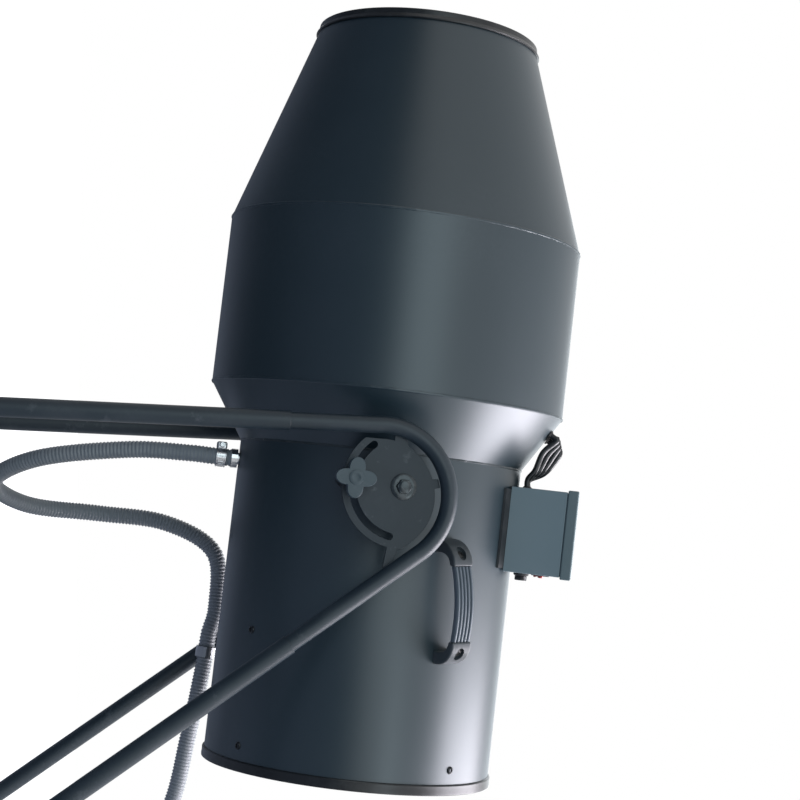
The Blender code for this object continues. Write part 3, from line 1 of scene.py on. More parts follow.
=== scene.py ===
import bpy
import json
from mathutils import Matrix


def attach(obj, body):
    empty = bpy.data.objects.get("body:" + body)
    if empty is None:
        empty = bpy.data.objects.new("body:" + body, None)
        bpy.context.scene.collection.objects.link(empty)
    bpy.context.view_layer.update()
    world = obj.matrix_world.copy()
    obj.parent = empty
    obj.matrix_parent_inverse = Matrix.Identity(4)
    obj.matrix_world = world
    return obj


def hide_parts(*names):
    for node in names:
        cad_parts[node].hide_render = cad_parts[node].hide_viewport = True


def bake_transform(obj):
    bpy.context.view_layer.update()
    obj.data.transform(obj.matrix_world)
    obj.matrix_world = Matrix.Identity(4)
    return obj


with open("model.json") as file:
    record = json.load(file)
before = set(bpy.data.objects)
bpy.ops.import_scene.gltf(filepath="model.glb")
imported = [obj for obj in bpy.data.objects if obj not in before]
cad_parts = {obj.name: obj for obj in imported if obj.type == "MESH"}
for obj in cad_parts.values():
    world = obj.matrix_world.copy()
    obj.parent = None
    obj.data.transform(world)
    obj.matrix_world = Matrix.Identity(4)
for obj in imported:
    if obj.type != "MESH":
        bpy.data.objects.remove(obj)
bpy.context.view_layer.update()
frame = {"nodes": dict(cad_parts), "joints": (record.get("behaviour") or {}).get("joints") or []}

import json
from math import acos, asin, atan2, cos, pi, radians, sin, sqrt, tan

import bpy
from mathutils import Matrix, Vector


# Frame places
# The tilt pivot and the barrel's own axes, read from the frame's joints. Barrel places are
# (ahead to the outlet, near to the seen side, up), from the axis over the pivot.
def axes_at(place, *ways):
    """Axes at a place, along three given directions."""
    return Matrix.Translation(place) @ Matrix(ways).transposed().to_4x4()


joints = {joint["name"]: joint for joint in frame["joints"]}
pivot = Vector(joints["barrel_tilt"]["pos_m"])
ahead = Vector(joints["fan_spin"]["axis"]).normalized()
near = Vector((0, -1, 0))
up = ahead.cross(near)
axle_spot = Vector(joints["fan_spin"]["pos_m"])
axis_origin = axle_spot + ahead * ahead.dot(pivot - axle_spot)
barrel_frame = axes_at(axis_origin, ahead, near, up)


# Camera
# The photograph was taken from the machine's side, a little under the barrel's axis,
# and then turned a quarter turn, so the camera lies on its side with the outlet at the top.
camera_eye = Vector((0.0276, -2.4572, 0.3083))
camera_target = Vector((-0.0976, 0.0, 0.7177))
camera_data = bpy.data.cameras.new("camera")
camera_data.lens = 78.58
camera_data.sensor_width = 36.0
camera_data.clip_end = 60.0
camera = bpy.data.objects.new("camera", camera_data)
sight = (camera_target - camera_eye).normalized()
image_right = sight.cross(Vector((-1, 0, 0))).normalized()
camera.matrix_world = axes_at(camera_eye, image_right, image_right.cross(sight), -sight)
bpy.context.scene.collection.objects.link(camera)
bpy.context.scene.camera = camera


# Ribbed feed hose
# 25 mm corrugated plastic suction hose, clamped on the feed nipple under the barrel. It hangs in
# a loop to a clip on the far rear leg, drops to the floor and lies there in a flat coil.
hose_r = 0.0125
rib_depth = 0.0011
rib_pitch = 0.0050


def smooth_route(points, spacing):
    """Evenly spaced points on a smooth curve through given route points."""
    dense = []
    padded = [points[0] * 2 - points[1]] + points + [points[-1] * 2 - points[-2]]
    for a, b, c, d in zip(padded, padded[1:], padded[2:], padded[3:]):
        for i in range(24):
            t = i / 24
            bend = (2 * a - 5 * b + 4 * c - d) * t * t + (3 * b - a - 3 * c + d) * t**3
            dense.append((2 * b + (c - a) * t + bend) * 0.5)
    dense.append(points[-1].copy())
    for _ in range(6):
        inner = [(p + q * 2 + r) / 4 for p, q, r in zip(dense, dense[1:], dense[2:])]
        dense = [dense[0]] + inner + [dense[-1]]
    return evenly(dense, spacing)


def evenly(points, spacing):
    """Points at equal steps along a polyline."""
    total = sum((q - p).length for p, q in zip(points, points[1:]))
    steps = max(round(total / spacing), 2)
    result = [points[0].copy()]
    reach, target = 0.0, total / steps
    for p, q in zip(points, points[1:]):
        run = (q - p).length
        while run > 1e-9 and reach + run >= target - 1e-9 and len(result) < steps:
            result.append(p.lerp(q, (target - reach) / run))
            target += total / steps
        reach += run
    result.append(points[-1].copy())
    return result


def select_only(piece):
    """Makes a piece the selected and the active one."""
    bpy.ops.object.select_all(action="DESELECT")
    piece.select_set(True)
    bpy.context.view_layer.objects.active = piece


def tube_from(name, points, radius, radii=None, rounds=4):
    """A round tube along the points, made as a bevelled curve and turned into a mesh."""
    curve = bpy.data.curves.new(name, "CURVE")
    curve.dimensions = "3D"
    curve.bevel_depth = radius
    curve.bevel_resolution = rounds
    curve.use_fill_caps = True
    curve.twist_mode = "MINIMUM"
    spline = curve.splines.new("POLY")
    spline.points.add(len(points) - 1)
    for i, point in enumerate(points):
        spline.points[i].co = (*point, 1)
        spline.points[i].radius = radii[i] if radii else 1.0
    piece = bpy.data.objects.new(name, curve)
    bpy.context.scene.collection.objects.link(piece)
    select_only(piece)
    bpy.ops.object.convert(target="MESH")
    return bpy.context.view_layer.objects.active


nipple_collar = 0.011
feed_ahead = 0.017
rear_r = 0.200
hose_start = barrel_frame @ Vector((feed_ahead, 0, -rear_r - nipple_collar - 0.0003))
hose_down = (barrel_frame.to_3x3() @ Vector((0, 0, -1))).normalized()
side_y = 0.258
rear_lean = radians(34.2)
bend_r = 0.090
bend_back = 0.0106
bend_drop = 0.0311
clip_drop = 0.224
bend_middle = Vector((bend_back, 0, -bend_drop))
clip_from = bend_middle + Vector((cos(rear_lean), 0, sin(rear_lean))) * bend_r
clip = pivot + Vector((clip_from.x + (clip_drop + clip_from.z) * tan(rear_lean), 0, -clip_drop))
clip.y = side_y - 2 * hose_r - 0.0015
clip_along = Vector((0.985, 0.0, -0.17)).normalized()


def from_pivot(*spots):
    """Places given from the tilt pivot."""
    return [pivot + Vector(spot) for spot in spots]


loop_points = smooth_route(
    [
        hose_start,
        hose_start + hose_down * 0.030,
        hose_start + hose_down * 0.060,
        *from_pivot(
            (-0.052, 0.004, -0.345), (-0.040, 0.035, -0.470), (-0.008, 0.105, -0.535),
            (0.026, 0.180, -0.490), (0.040, 0.224, -0.385), (0.055, 0.232, -0.285),
            (0.100, 0.2315, -0.212),
        ),
        clip - clip_along * 0.070 + Vector((0, 0, 0.0035)),
        clip - clip_along * 0.030,
        clip,
    ],
    0.010,
)
coil_turns = 3
coil_steps = coil_turns * 24
coil_inner = 0.112
coil_pitch = 0.0275
coil_tail = 0.030
coil_centre = Vector((pivot.x + 0.840, 0.120, hose_r + 0.0004))
coil_points = []
for step in range(coil_steps + 1):
    turn = pi / 2 - 2 * pi * step / 24
    drawn_in = max(0.0, (step - coil_steps + 14) / 14) ** 2 * coil_tail
    coil_radius = coil_inner + coil_pitch * (coil_turns - step / 24) - drawn_in
    coil_points.append(coil_centre + Vector((cos(turn), sin(turn), 0)) * coil_radius)
coil_entry = (coil_points[0] - coil_points[1]).normalized()
run_points = smooth_route(
    [
        clip,
        clip + clip_along * 0.030,
        clip + clip_along * 0.130 + Vector((0, 0, -0.004)),
        *from_pivot(
            (0.490, 0.236, -0.279), (0.575, 0.246, -0.345), (0.617, 0.262, -0.460),
            (0.655, 0.280, -0.585),
        ),
        Vector((pivot.x + 0.715, coil_points[0].y, coil_points[0].z + 0.008)),
        coil_points[0] + coil_entry * 0.040,
        coil_points[0],
    ],
    0.010,
)
run_points = [Vector((p.x, p.y, max(p.z, coil_points[0].z))) for p in run_points]
hose_path = loop_points + run_points[1:] + coil_points[1:]
rib_points = evenly(hose_path, rib_pitch / 4)
rib_radii = [1.0 if i % 4 < 2 else 1.0 - rib_depth / hose_r for i in range(len(rib_points))]
hose = tube_from("ribbed_hose", rib_points, hose_r, rib_radii, rounds=3)


def new_material(name, colour, roughness, metallic=0.0, coat=0.0):
    """A material with its constants set on the shader itself."""
    material = bpy.data.materials.new(name)
    material.use_nodes = True
    shader = material.node_tree.nodes["Principled BSDF"]
    shader.inputs["Base Color"].default_value = (*colour, 1)
    shader.inputs["Roughness"].default_value = roughness
    shader.inputs["Metallic"].default_value = metallic
    shader.inputs["Coat Weight"].default_value = coat
    return material


def add_node(tree, kind, inputs=(), **settings):
    """A node with its settings; each of its inputs is given a value, or another node's output."""
    node = tree.nodes.new(kind)
    for name, value in settings.items():
        setattr(node, name, value)
    for name, value in dict(inputs).items():
        if isinstance(value, bpy.types.NodeSocket):
            tree.links.new(value, node.inputs[name])
        else:
            node.inputs[name].default_value = value
    return node


def object_place(tree):
    """The coordinates that every pattern is laid out in."""
    return add_node(tree, "ShaderNodeTexCoord").outputs["Object"]


def build_mottle_group():
    """Colour and roughness that vary a little over a surface, with faint dust in soft patches."""
    group = bpy.data.node_groups.new("mottled_finish", "ShaderNodeTree")
    colour, value = "NodeSocketColor", "NodeSocketFloat"
    takes = {"Colour": colour, "Dust": colour, "Dust Share": value, "Roughness": value,
             "Spread": value, "Scale": value}
    for name, kind in takes.items():
        group.interface.new_socket(name, in_out="INPUT", socket_type=kind)
    for name, kind in (("Colour", colour), ("Roughness", value)):
        group.interface.new_socket(name, in_out="OUTPUT", socket_type=kind)
    given = add_node(group, "NodeGroupInput").outputs
    place = object_place(group)
    broad = add_node(
        group, "ShaderNodeTexNoise", {"Detail": 4, "Vector": place, "Scale": given["Scale"]}
    ).outputs["Fac"]
    fine = add_node(group, "ShaderNodeTexNoise", {"Scale": 160, "Detail": 3, "Vector": place})
    patch = add_node(
        group, "ShaderNodeMapRange", {"From Min": 0.45, "From Max": 0.75, "Value": broad}
    )
    speck = add_node(
        group, "ShaderNodeMath", {0: patch.outputs["Result"], 1: fine.outputs["Fac"]},
        operation="MULTIPLY",
    )
    share = add_node(
        group, "ShaderNodeMath", {0: speck.outputs["Value"], 1: given["Dust Share"]},
        operation="MULTIPLY",
    )
    mix = add_node(
        group, "ShaderNodeMix",
        {"Factor": share.outputs["Value"], "A": given["Colour"], "B": given["Dust"]},
        data_type="RGBA",
    )
    swing = add_node(
        group, "ShaderNodeMath", {0: broad, 1: given["Spread"], 2: given["Roughness"]},
        operation="MULTIPLY_ADD",
    )
    add_node(
        group, "NodeGroupOutput",
        {"Colour": mix.outputs["Result"], "Roughness": swing.outputs["Value"]},
    )
    return group


mottle = build_mottle_group()


def mottled(
    name, colour, roughness, metallic=0.0, coat=0.0, dust_share=0.2, spread=0.15, scale=60,
    dust=(0.4, 0.4, 0.4), grain=0.08, grain_scale=900,
):
    """A material with the mottled finish and a fine grain on its normals."""
    material = new_material(name, colour, roughness, metallic, coat)
    tree = material.node_tree
    shader = tree.nodes["Principled BSDF"]
    finish = add_node(tree, "ShaderNodeGroup", node_tree=mottle)
    for slot, value in (
        ("Colour", (*colour, 1)), ("Dust", (*dust, 1)), ("Dust Share", dust_share),
        ("Roughness", roughness - spread / 2), ("Spread", spread), ("Scale", scale),
    ):
        finish.inputs[slot].default_value = value
    noise = add_node(
        tree, "ShaderNodeTexNoise", {"Scale": grain_scale, "Detail": 2, "Vector": object_place(tree)}
    )
    bump = add_node(
        tree, "ShaderNodeBump",
        {"Strength": grain, "Distance": 0.0004, "Height": noise.outputs["Fac"]},
    )
    tree.links.new(finish.outputs["Colour"], shader.inputs["Base Color"])
    tree.links.new(finish.outputs["Roughness"], shader.inputs["Roughness"])
    tree.links.new(bump.outputs["Normal"], shader.inputs["Normal"])
    return material


def repaint(material, *nodes):
    """Puts a material on nodes that keep the frame's own mesh."""
    for node in nodes:
        frame["nodes"][node].data.materials.clear()
        frame["nodes"][node].data.materials.append(material)


hose_plastic = mottled(
    "hose_plastic", (0.27, 0.29, 0.31), 0.38,
    dust_share=0.25, spread=0.12, scale=30, dust=(0.5, 0.5, 0.48), grain_scale=500,
)


def dress(piece, name, material, body, *nodes, smooth=35, flat_faces=True):
    """Applies a piece's place, shades it, paints it, and hangs it on its body."""
    piece.name = name
    piece.data.name = name
    select_only(piece)
    bpy.ops.object.transform_apply()
    bpy.ops.object.shade_smooth_by_angle(angle=radians(smooth))
    if flat_faces:
        even_shading = piece.modifiers.new("even_shading", "WEIGHTED_NORMAL")
        even_shading.keep_sharp = True
        bpy.ops.object.modifier_apply(modifier=even_shading.name)
    piece.data.materials.clear()
    piece.data.materials.append(material)
    if body:
        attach(piece, body)
    if nodes:
        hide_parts(*nodes)
    return piece


dress(
    hose, "ribbed_hose", hose_plastic, None, "hose_loop", "hose_run", "hose_coil",
    smooth=80, flat_faces=False,
)
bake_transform(hose)


# Barrel shells
# Rolled 2 mm steel sheet: a straight rear tube, a flare, the wide drum and the tapered nozzle,
# welded edge to edge and sprayed satin black, with the faint orange peel of spray paint.
wall = 0.002
rear_end = -0.395
neck = 0.045
drum_rear = 0.123
drum_front = 0.3575
outlet = 0.647
drum_r = 0.250
outlet_r = 0.155


def faces_outward(piece, close=False):
    """Turns a mesh's faces outward; if asked, closes its seams and ends first."""
    select_only(piece)
    bpy.ops.object.mode_set(mode="EDIT")
    bpy.ops.mesh.select_all(action="SELECT")
    if close:
        bpy.ops.mesh.remove_doubles(threshold=1e-6)
        bpy.ops.mesh.fill_holes(sides=0)
    bpy.ops.mesh.normals_make_consistent(inside=False)
    bpy.ops.object.mode_set(mode="OBJECT")
    return piece


def turned(profile, sides):
    """A profile of (along, radius) turned about the X axis: a circle, extruded and resized."""
    first_along, first_r = profile[0]
    bpy.ops.mesh.primitive_circle_add(
        vertices=sides, radius=first_r, location=(first_along, 0, 0), rotation=(0, pi / 2, 0)
    )
    bpy.ops.object.mode_set(mode="EDIT")
    bpy.ops.mesh.select_all(action="SELECT")
    for (along, r), (next_along, next_r) in zip(profile, profile[1:]):
        step = (next_along - along, 0, 0)
        bpy.ops.mesh.extrude_region_move(TRANSFORM_OT_translate={"value": step})
        share = next_r / r
        bpy.ops.transform.resize(value=(1, share, share), center_override=(next_along, 0, 0))
    bpy.ops.object.mode_set(mode="OBJECT")
    piece = faces_outward(bpy.context.object, close=True)
    bpy.ops.object.transform_apply()
    return piece


def moved(piece, place):
    """The same piece, carried from its own axes to its place on the machine."""
    piece.matrix_world = place @ piece.matrix_world
    return piece


def copied(piece):
    """A copy with a mesh of its own."""
    twin = piece.copy()
    twin.data = piece.data.copy()
    bpy.context.scene.collection.objects.link(twin)
    return twin


def joined(pieces):
    """Several pieces made one."""
    bpy.ops.object.select_all(action="DESELECT")
    for piece in pieces:
        piece.select_set(True)
    bpy.context.view_layer.objects.active = pieces[0]
    bpy.ops.object.join()
    return bpy.context.view_layer.objects.active


def facing(place, along):
    """Axes at a place with X along a direction, for a turned piece."""
    x = Vector(along).normalized()
    y = Vector((0, 0, 1)).cross(x)
    if y.length < 1e-3:
        y = Vector((0, 1, 0)).cross(x)
    y.normalize()
    return axes_at(place, x, y, x.cross(y))


def add_edge_rub(material, colour, amount, scale):
    """Rubbed, paler paint in small broken patches."""
    tree = material.node_tree
    base = tree.nodes["Principled BSDF"].inputs["Base Color"]
    spots = add_node(
        tree, "ShaderNodeTexNoise",
        {"Scale": scale, "Detail": 5, "Roughness": 0.7, "Vector": object_place(tree)},
    )
    pick = add_node(
        tree, "ShaderNodeMapRange",
        {"From Min": 0.60, "From Max": 0.72, "To Max": amount, "Value": spots.outputs["Fac"]},
    )
    mix = add_node(
        tree, "ShaderNodeMix",
        {"Factor": pick.outputs["Result"], "A": base.links[0].from_socket, "B": (*colour, 1)},
        data_type="RGBA",
    )
    tree.links.new(mix.outputs["Result"], base)
    return material


barrel_paint = mottled(
    "barrel_paint", (0.009, 0.026, 0.037), 0.38, metallic=0.15,
    dust_share=0.05, spread=0.06, scale=5, dust=(0.30, 0.33, 0.36), grain=0.05, grain_scale=420,
)
barrel_paint.node_tree.nodes["Principled BSDF"].inputs["IOR"].default_value = 1.72
weld_paint = add_edge_rub(
    mottled(
        "weld_paint", (0.030, 0.042, 0.048), 0.34, metallic=0.3,
        dust_share=0.10, spread=0.2, grain=0.5, grain_scale=260,
    ),
    (0.55, 0.56, 0.58), amount=0.5, scale=55,
)
gap = 0.0003
shells = (
    ("rear_tube", "rear_barrel", rear_end, rear_r, neck - gap / 2, rear_r),
    ("flare", "flare_cone", neck + gap / 2, rear_r + 0.0001, drum_rear - gap / 2, drum_r - 0.0001),
    ("drum", "drum_shell", drum_rear + gap / 2, drum_r, drum_front - gap / 2, drum_r),
    ("nozzle", "nozzle_cone", drum_front + gap / 2, drum_r - 0.0001, outlet, outlet_r),
)
for name, node, start, start_r, end, end_r in shells:
    profile = [(start, start_r)]
    for share in (0.02, 0.25, 0.5, 0.75, 0.98):
        profile.append((start + (end - start) * share, start_r + (end_r - start_r) * share))
    profile += [(end, end_r), (end, end_r - wall), (start, start_r - wall), (start, start_r)]
    dress(moved(turned(profile, 192), barrel_frame), name, barrel_paint, "barrel", node, smooth=20)
for name, along, r, thick in (
    ("neck_weld", neck, rear_r, 0.0011),
    ("drum_rear_weld", drum_rear, drum_r, 0.0007),
    ("drum_front_weld", drum_front, drum_r, 0.0007),
):
    bead = [
        (along - 0.0022, r - 0.0006), (along - 0.0012, r + thick * 0.7), (along, r + thick),
        (along + 0.0012, r + thick * 0.7), (along + 0.0022, r - 0.0006), (along, r - 0.0009),
        (along - 0.0022, r - 0.0006),
    ]
    weld = turned(bead, 360)
    for vertex in weld.data.vertices:
        turn = atan2(vertex.co.z, vertex.co.y)
        ripple = 1 + 0.0012 * sin(turn * 150) + 0.0008 * sin(turn * 47 + 1)
        vertex.co.y *= ripple
        vertex.co.z *= ripple
    finish = weld_paint if name == "neck_weld" else barrel_paint
    dress(moved(weld, barrel_frame), name, finish, "barrel")


# Rolled rims
# The sheet's two open ends are stiffened by a folded band with a rounded lip, spot-welded on.
rim_width = 0.012
rim_proud = 0.003
rim_paint = mottled(
    "rim_paint", (0.012, 0.014, 0.016), 0.34, metallic=0.2,
    dust_share=0.12, spread=0.12, scale=20, grain=0.06, grain_scale=500,
)
for name, node, end, r, outward, slope in (
    ("rear_rim_band", "rear_rim", rear_end, rear_r, -1, 0.0),
    ("outlet_rim_band", "outlet_rim", outlet, outlet_r, 1, (drum_r - outlet_r) / (outlet - drum_front)),
):
    inside = end - outward * rim_width
    inside_r = r + slope * rim_width + gap
    lip = end + outward * (gap + wall)
    proud = r + rim_proud
    profile = [
        (inside, inside_r),
        (inside + outward * 0.0006, inside_r + rim_proud * 0.62),
        (inside + outward * 0.0020, inside_r + rim_proud * 0.86),
        (end - outward * 0.0050, proud - 0.0004 + slope * 0.002),
        (end - outward * 0.0010, proud),
        (lip - outward * 0.0008, proud - 0.0003),
        (lip, proud - 0.0014),
        (lip, r - wall + 0.0008),
        (lip - outward * 0.0008, r - wall),
        (end + outward * gap, r - wall),
        (end + outward * gap, r + gap),
        (inside, inside_r),
    ]
    dress(moved(turned(profile, 192), barrel_frame), name, rim_paint, "barrel", node, smooth=30)


# Intake guard
# Rings of 4 mm wire spot-welded on four straight wires and a hub disc, painted black, set just
# inside the rear rim to keep hands out of the fan.
guard_station = -0.384
guard_wire = 0.0045
guard_hub_r = 0.030
guard_outer = rear_r - wall - gap
guard_paint = mottled(
    "guard_paint", (0.016, 0.018, 0.020), 0.36, metallic=0.3, dust_share=0.25, scale=25, grain=0.06
)
first_arm = radians(35)
guard_pieces = []
ring_step = (guard_outer - guard_wire - guard_hub_r) / 3
for i in range(4):
    bpy.ops.mesh.primitive_torus_add(
        major_radius=guard_hub_r + guard_wire / 2 + ring_step * i, minor_radius=guard_wire * 0.45,
        major_segments=144, minor_segments=12, location=(guard_station, 0, 0),
        rotation=(0, pi / 2, 0),
    )
    guard_pieces.append(bpy.context.object)


def out_at(turn):
    """The way out from the barrel's axis, at an angle from the seen side."""
    return Vector((0, cos(turn), sin(turn)))


for i in range(4):
    out = out_at(first_arm + i * pi / 2)
    start = Vector((guard_station, 0, 0)) + out * (guard_hub_r - 0.004)
    length = guard_outer - 0.0028 - (guard_hub_r - 0.004)
    spoke = turned([(0, 0.0012), (0.0005, 0.0020), (length - 0.0005, 0.0020), (length, 0.0012)], 12)
    guard_pieces.append(moved(spoke, facing(start, out)))
hub = [
    (-0.0026, 0.006), (-0.0026, 0.024), (-0.0016, 0.0275), (0.0010, 0.0277), (0.0026, 0.0262),
    (0.0026, 0.004), (0.0018, 0.0005),
]
guard_pieces.append(moved(turned(hub, 64), Matrix.Translation((guard_station, 0, 0))))
guard = joined(guard_pieces)
dress(moved(guard, barrel_frame), "wire_guard", guard_paint, "barrel", "intake_guard", smooth=50)


# Fan motor
# A finned aluminium motor with dished end bells, clamped by two ring mounts whose four arms are
# screwed to the rear tube from outside with dome-headed screws.
motor_rear = -0.376
motor_front = -0.176
motor_r = 0.074
fan_station = -0.125
shaft_end = fan_station - 0.034
motor_paint = mottled(
    "motor_paint", (0.10, 0.11, 0.12), 0.42, metallic=0.5,
    dust_share=0.25, spread=0.2, scale=18, grain=0.12, grain_scale=700,
)
body_profile = [
    (motor_rear, 0.020), (motor_rear, 0.050), (motor_rear + 0.004, 0.060),
    (motor_rear + 0.014, 0.068), (motor_rear + 0.022, 0.0695), (motor_front - 0.022, 0.0695),
    (motor_front - 0.014, 0.068), (motor_front - 0.004, 0.058), (motor_front, 0.050),
    (motor_front, 0.020), (motor_front + 0.004, 0.017), (motor_front + 0.005, 0.011),
    (shaft_end, 0.011), (shaft_end, 0.004),
]
motor_pieces = [turned(body_profile, 96)]


def softened(piece, width, segments=2, angle=30):
    """Rounds a piece's sharp edges."""
    select_only(piece)
    rounding = piece.modifiers.new("rounding", "BEVEL")
    rounding.width = width
    rounding.segments = segments
    rounding.limit_method = "ANGLE"
    rounding.angle_limit = radians(angle)
    bpy.ops.object.modifier_apply(modifier=rounding.name)
    return piece


def solid_block(low, high, soft, segments=2):
    """A block between two corners, with its edges rounded."""
    middle = [(a + b) / 2 for a, b in zip(low, high)]
    bpy.ops.mesh.primitive_cube_add(size=1, location=middle)
    piece = bpy.context.object
    piece.scale = [abs(b - a) for a, b in zip(low, high)]
    bpy.ops.object.transform_apply()
    return softened(piece, soft, segments)


for i in range(36):
    if i % 9 == 4:
        continue
    fin = solid_block(
        (motor_rear + 0.026, -0.0011, motor_r - 0.0064),
        (motor_front - 0.026, 0.0011, motor_r - 0.0004), 0.0007,
    )
    motor_pieces.append(moved(fin, Matrix.Rotation(i * pi / 18 + 0.035, 4, "X")))
motor = joined(motor_pieces)
dress(moved(motor, barrel_frame), "fan_motor_body", motor_paint, "barrel", "fan_motor", smooth=30)
bracket_paint = mottled(
    "bracket_paint", (0.014, 0.017, 0.020), 0.42, metallic=0.2, scale=20, grain=0.10, grain_scale=600
)
repaint(bracket_paint, "motor_mount_rear", "motor_mount_front")
screw_black = mottled(
    "screw_black", (0.020, 0.022, 0.025), 0.28, metallic=0.7, dust_share=0.3, scale=90, grain=0.1
)
screw_profile = [
    (-0.0005, 0.0050), (0.0004, 0.0052), (0.0012, 0.0047), (0.0022, 0.0036),
    (0.0026, 0.0026), (0.0014, 0.0022), (0.0014, 0.0004),
]
for row, station in (("rear", motor_rear + 0.012), ("front", motor_front - 0.034)):
    screws = []
    for i in range(4):
        out = out_at(first_arm + i * pi / 2)
        spot = Vector((station, 0, 0)) + out * rear_r
        screws.append(moved(turned(screw_profile, 24), facing(spot, out)))
    row_of = joined(screws)
    dress(moved(row_of, barrel_frame), "mount_screws_" + row, screw_black, "barrel")


# Fan
# Six twisted blades of cast aluminium on a turned hub, close inside the rear tube.
fan_hub_r = 0.048
fan_half = 0.028
fan_metal = mottled(
    "fan_metal", (0.45, 0.46, 0.47), 0.34, metallic=0.9,
    spread=0.2, scale=22, dust=(0.25, 0.25, 0.25), grain=0.10, grain_scale=300,
)
hub_profile = [
    (-fan_half, 0.0113), (-fan_half, fan_hub_r - 0.003), (-fan_half + 0.003, fan_hub_r),
    (fan_half - 0.006, fan_hub_r), (fan_half - 0.0015, fan_hub_r - 0.003),
    (fan_half, fan_hub_r - 0.010), (fan_half, 0.0113), (-fan_half, 0.0113),
]
fan_pieces = [turned(hub_profile, 96)]
tip_r = rear_r - wall - 0.006
root_r = fan_hub_r - 0.006
bpy.ops.mesh.primitive_grid_add(x_subdivisions=12, y_subdivisions=18, size=2)
blade = bpy.context.object
for vertex in blade.data.vertices:
    span = (vertex.co.y + 1) / 2
    along = vertex.co.x / 2
    reach = root_r + (tip_r - root_r) * span
    chord = 0.105 * (1 - 0.19 * span)
    chord *= 1 - 0.12 * max(0.0, span - 0.85) / 0.15
    pitch = radians(52 - 26 * span)
    lift = 0.010 * (1 - (2 * along) ** 2)
    ahead_by = along * chord * sin(pitch) + lift * cos(pitch)
    round_by = along * chord * cos(pitch) - lift * sin(pitch)
    vertex.co = (ahead_by, -round_by, sqrt(reach**2 - round_by**2))
faces_outward(blade)
thicken = blade.modifiers.new("thicken", "SOLIDIFY")
thicken.thickness = 0.0036
thicken.offset = 0
bpy.ops.object.modifier_apply(modifier=thicken.name)
softened(blade, 0.0011)
for i in range(6):
    fan_pieces.append(moved(copied(blade), Matrix.Rotation(i * pi / 3, 4, "X")))
bpy.data.objects.remove(blade)
fan = joined(fan_pieces)
fan_place = barrel_frame @ Matrix.Translation((fan_station, 0, 0))
dress(moved(fan, fan_place), "fan_wheel", fan_metal, "fan", "fan", smooth=40)


# Feed nipple and worm clamp
# A zinc-plated hose nipple welded in the underside of the rear tube, with the hose's end held on
# it by a perforated steel band that a worm screw draws tight.
plated_steel = mottled(
    "plated_steel", (0.62, 0.63, 0.65), 0.26, metallic=1.0,
    dust_share=0.25, spread=0.2, scale=45, dust=(0.30, 0.30, 0.28),
)
repaint(plated_steel, "feed_nipple", "hose_fitting")
clamp_width = 0.013
clamp_top = -rear_r - nipple_collar - 0.008
band_r = hose_r + gap
band = turned(
    [
        (0, band_r), (0, band_r + 0.0016), (0.0012, band_r + 0.0016), (0.0016, band_r + 0.0010),
        (clamp_width - 0.0016, band_r + 0.0010), (clamp_width - 0.0012, band_r + 0.0016),
        (clamp_width, band_r + 0.0016), (clamp_width, band_r), (0, band_r),
    ],
    72,
)
moved(band, facing((feed_ahead, 0, clamp_top), (0, 0, -1)))


housing = solid_block(
    (feed_ahead + band_r - 0.002, -0.0075, clamp_top - clamp_width - 0.0008),
    (feed_ahead + band_r + 0.0085, 0.0075, clamp_top + 0.0008), 0.0028, 4,
)
worm_spot = (feed_ahead + band_r + 0.0042, 0.0070, clamp_top - clamp_width / 2)
worm_line = [
    (0, 0.0030), (0.0010, 0.0042), (0.0055, 0.0042), (0.0068, 0.0034), (0.0068, 0.0016),
    (0.0050, 0.0014), (0.0050, 0.0003),
]
worm = turned(worm_line, 6)
moved(worm, facing(worm_spot, (0, 1, 0)))
slots = []
for i in range(13):
    turn = radians(70 + 17 * i)
    out = Vector((cos(turn), sin(turn), 0))
    tooth = solid_block((0.0, -0.0006, -0.0036), (0.0006, 0.0006, 0.0036), 0.0003, 1)
    spot = Vector((feed_ahead, 0, clamp_top - clamp_width / 2)) + out * (band_r + 0.0008)
    slots.append(moved(tooth, facing(spot, out)))
clamp = joined([band, housing, worm] + slots)
dress(moved(clamp, barrel_frame), "worm_clamp", plated_steel, "barrel", "hose_clamp", smooth=35)


# Spray ring and foam screen
# Inside the drum a ring pipe sprays solution ahead through six small nozzles on to a woven
# steel net, wedged in the nozzle by its own tapered rim.
ring_station = 0.185
ring_r = 0.115
ring_tube = 0.008
bpy.ops.mesh.primitive_torus_add(
    major_radius=ring_r, minor_radius=ring_tube, major_segments=96, minor_segments=20,
    location=(ring_station, 0, 0), rotation=(0, pi / 2, 0),
)
ring_pieces = [bpy.context.object]
cup = [
    (0.004, 0.0054), (0.012, 0.0054), (0.013, 0.0066), (0.021, 0.0066), (0.022, 0.0056),
    (0.030, 0.0040), (0.030, 0.0018), (0.026, 0.0014), (0.026, 0.0003),
]
for i in range(6):
    spot = Vector((ring_station, 0, 0)) + out_at(pi / 2 + i * pi / 3) * ring_r
    ring_pieces.append(moved(turned(cup, 18), Matrix.Translation(spot)))
for turn in (pi / 6, pi * 5 / 6):
    out = out_at(turn)
    start = Vector((ring_station - 0.002, 0, 0)) + out * (ring_r + 0.004)
    length = drum_r - wall - 0.001 - ring_r - 0.004
    stay = turned(
        [(0, 0.003), (0, 0.0038), (length - 0.003, 0.0038), (length, 0.008), (length, 0.002)], 18
    )
    ring_pieces.append(moved(stay, facing(start, out)))
foot = -rear_r + wall + 0.010 + gap
feed_route = [
    Vector((feed_ahead, 0, foot)), Vector((feed_ahead, 0, foot + 0.030)),
    Vector((feed_ahead + 0.010, 0, foot + 0.045)), Vector((feed_ahead + 0.030, 0, foot + 0.055)),
    Vector((ring_station - 0.040, 0, -ring_r - 0.004)), Vector((ring_station, 0, -ring_r)),
]
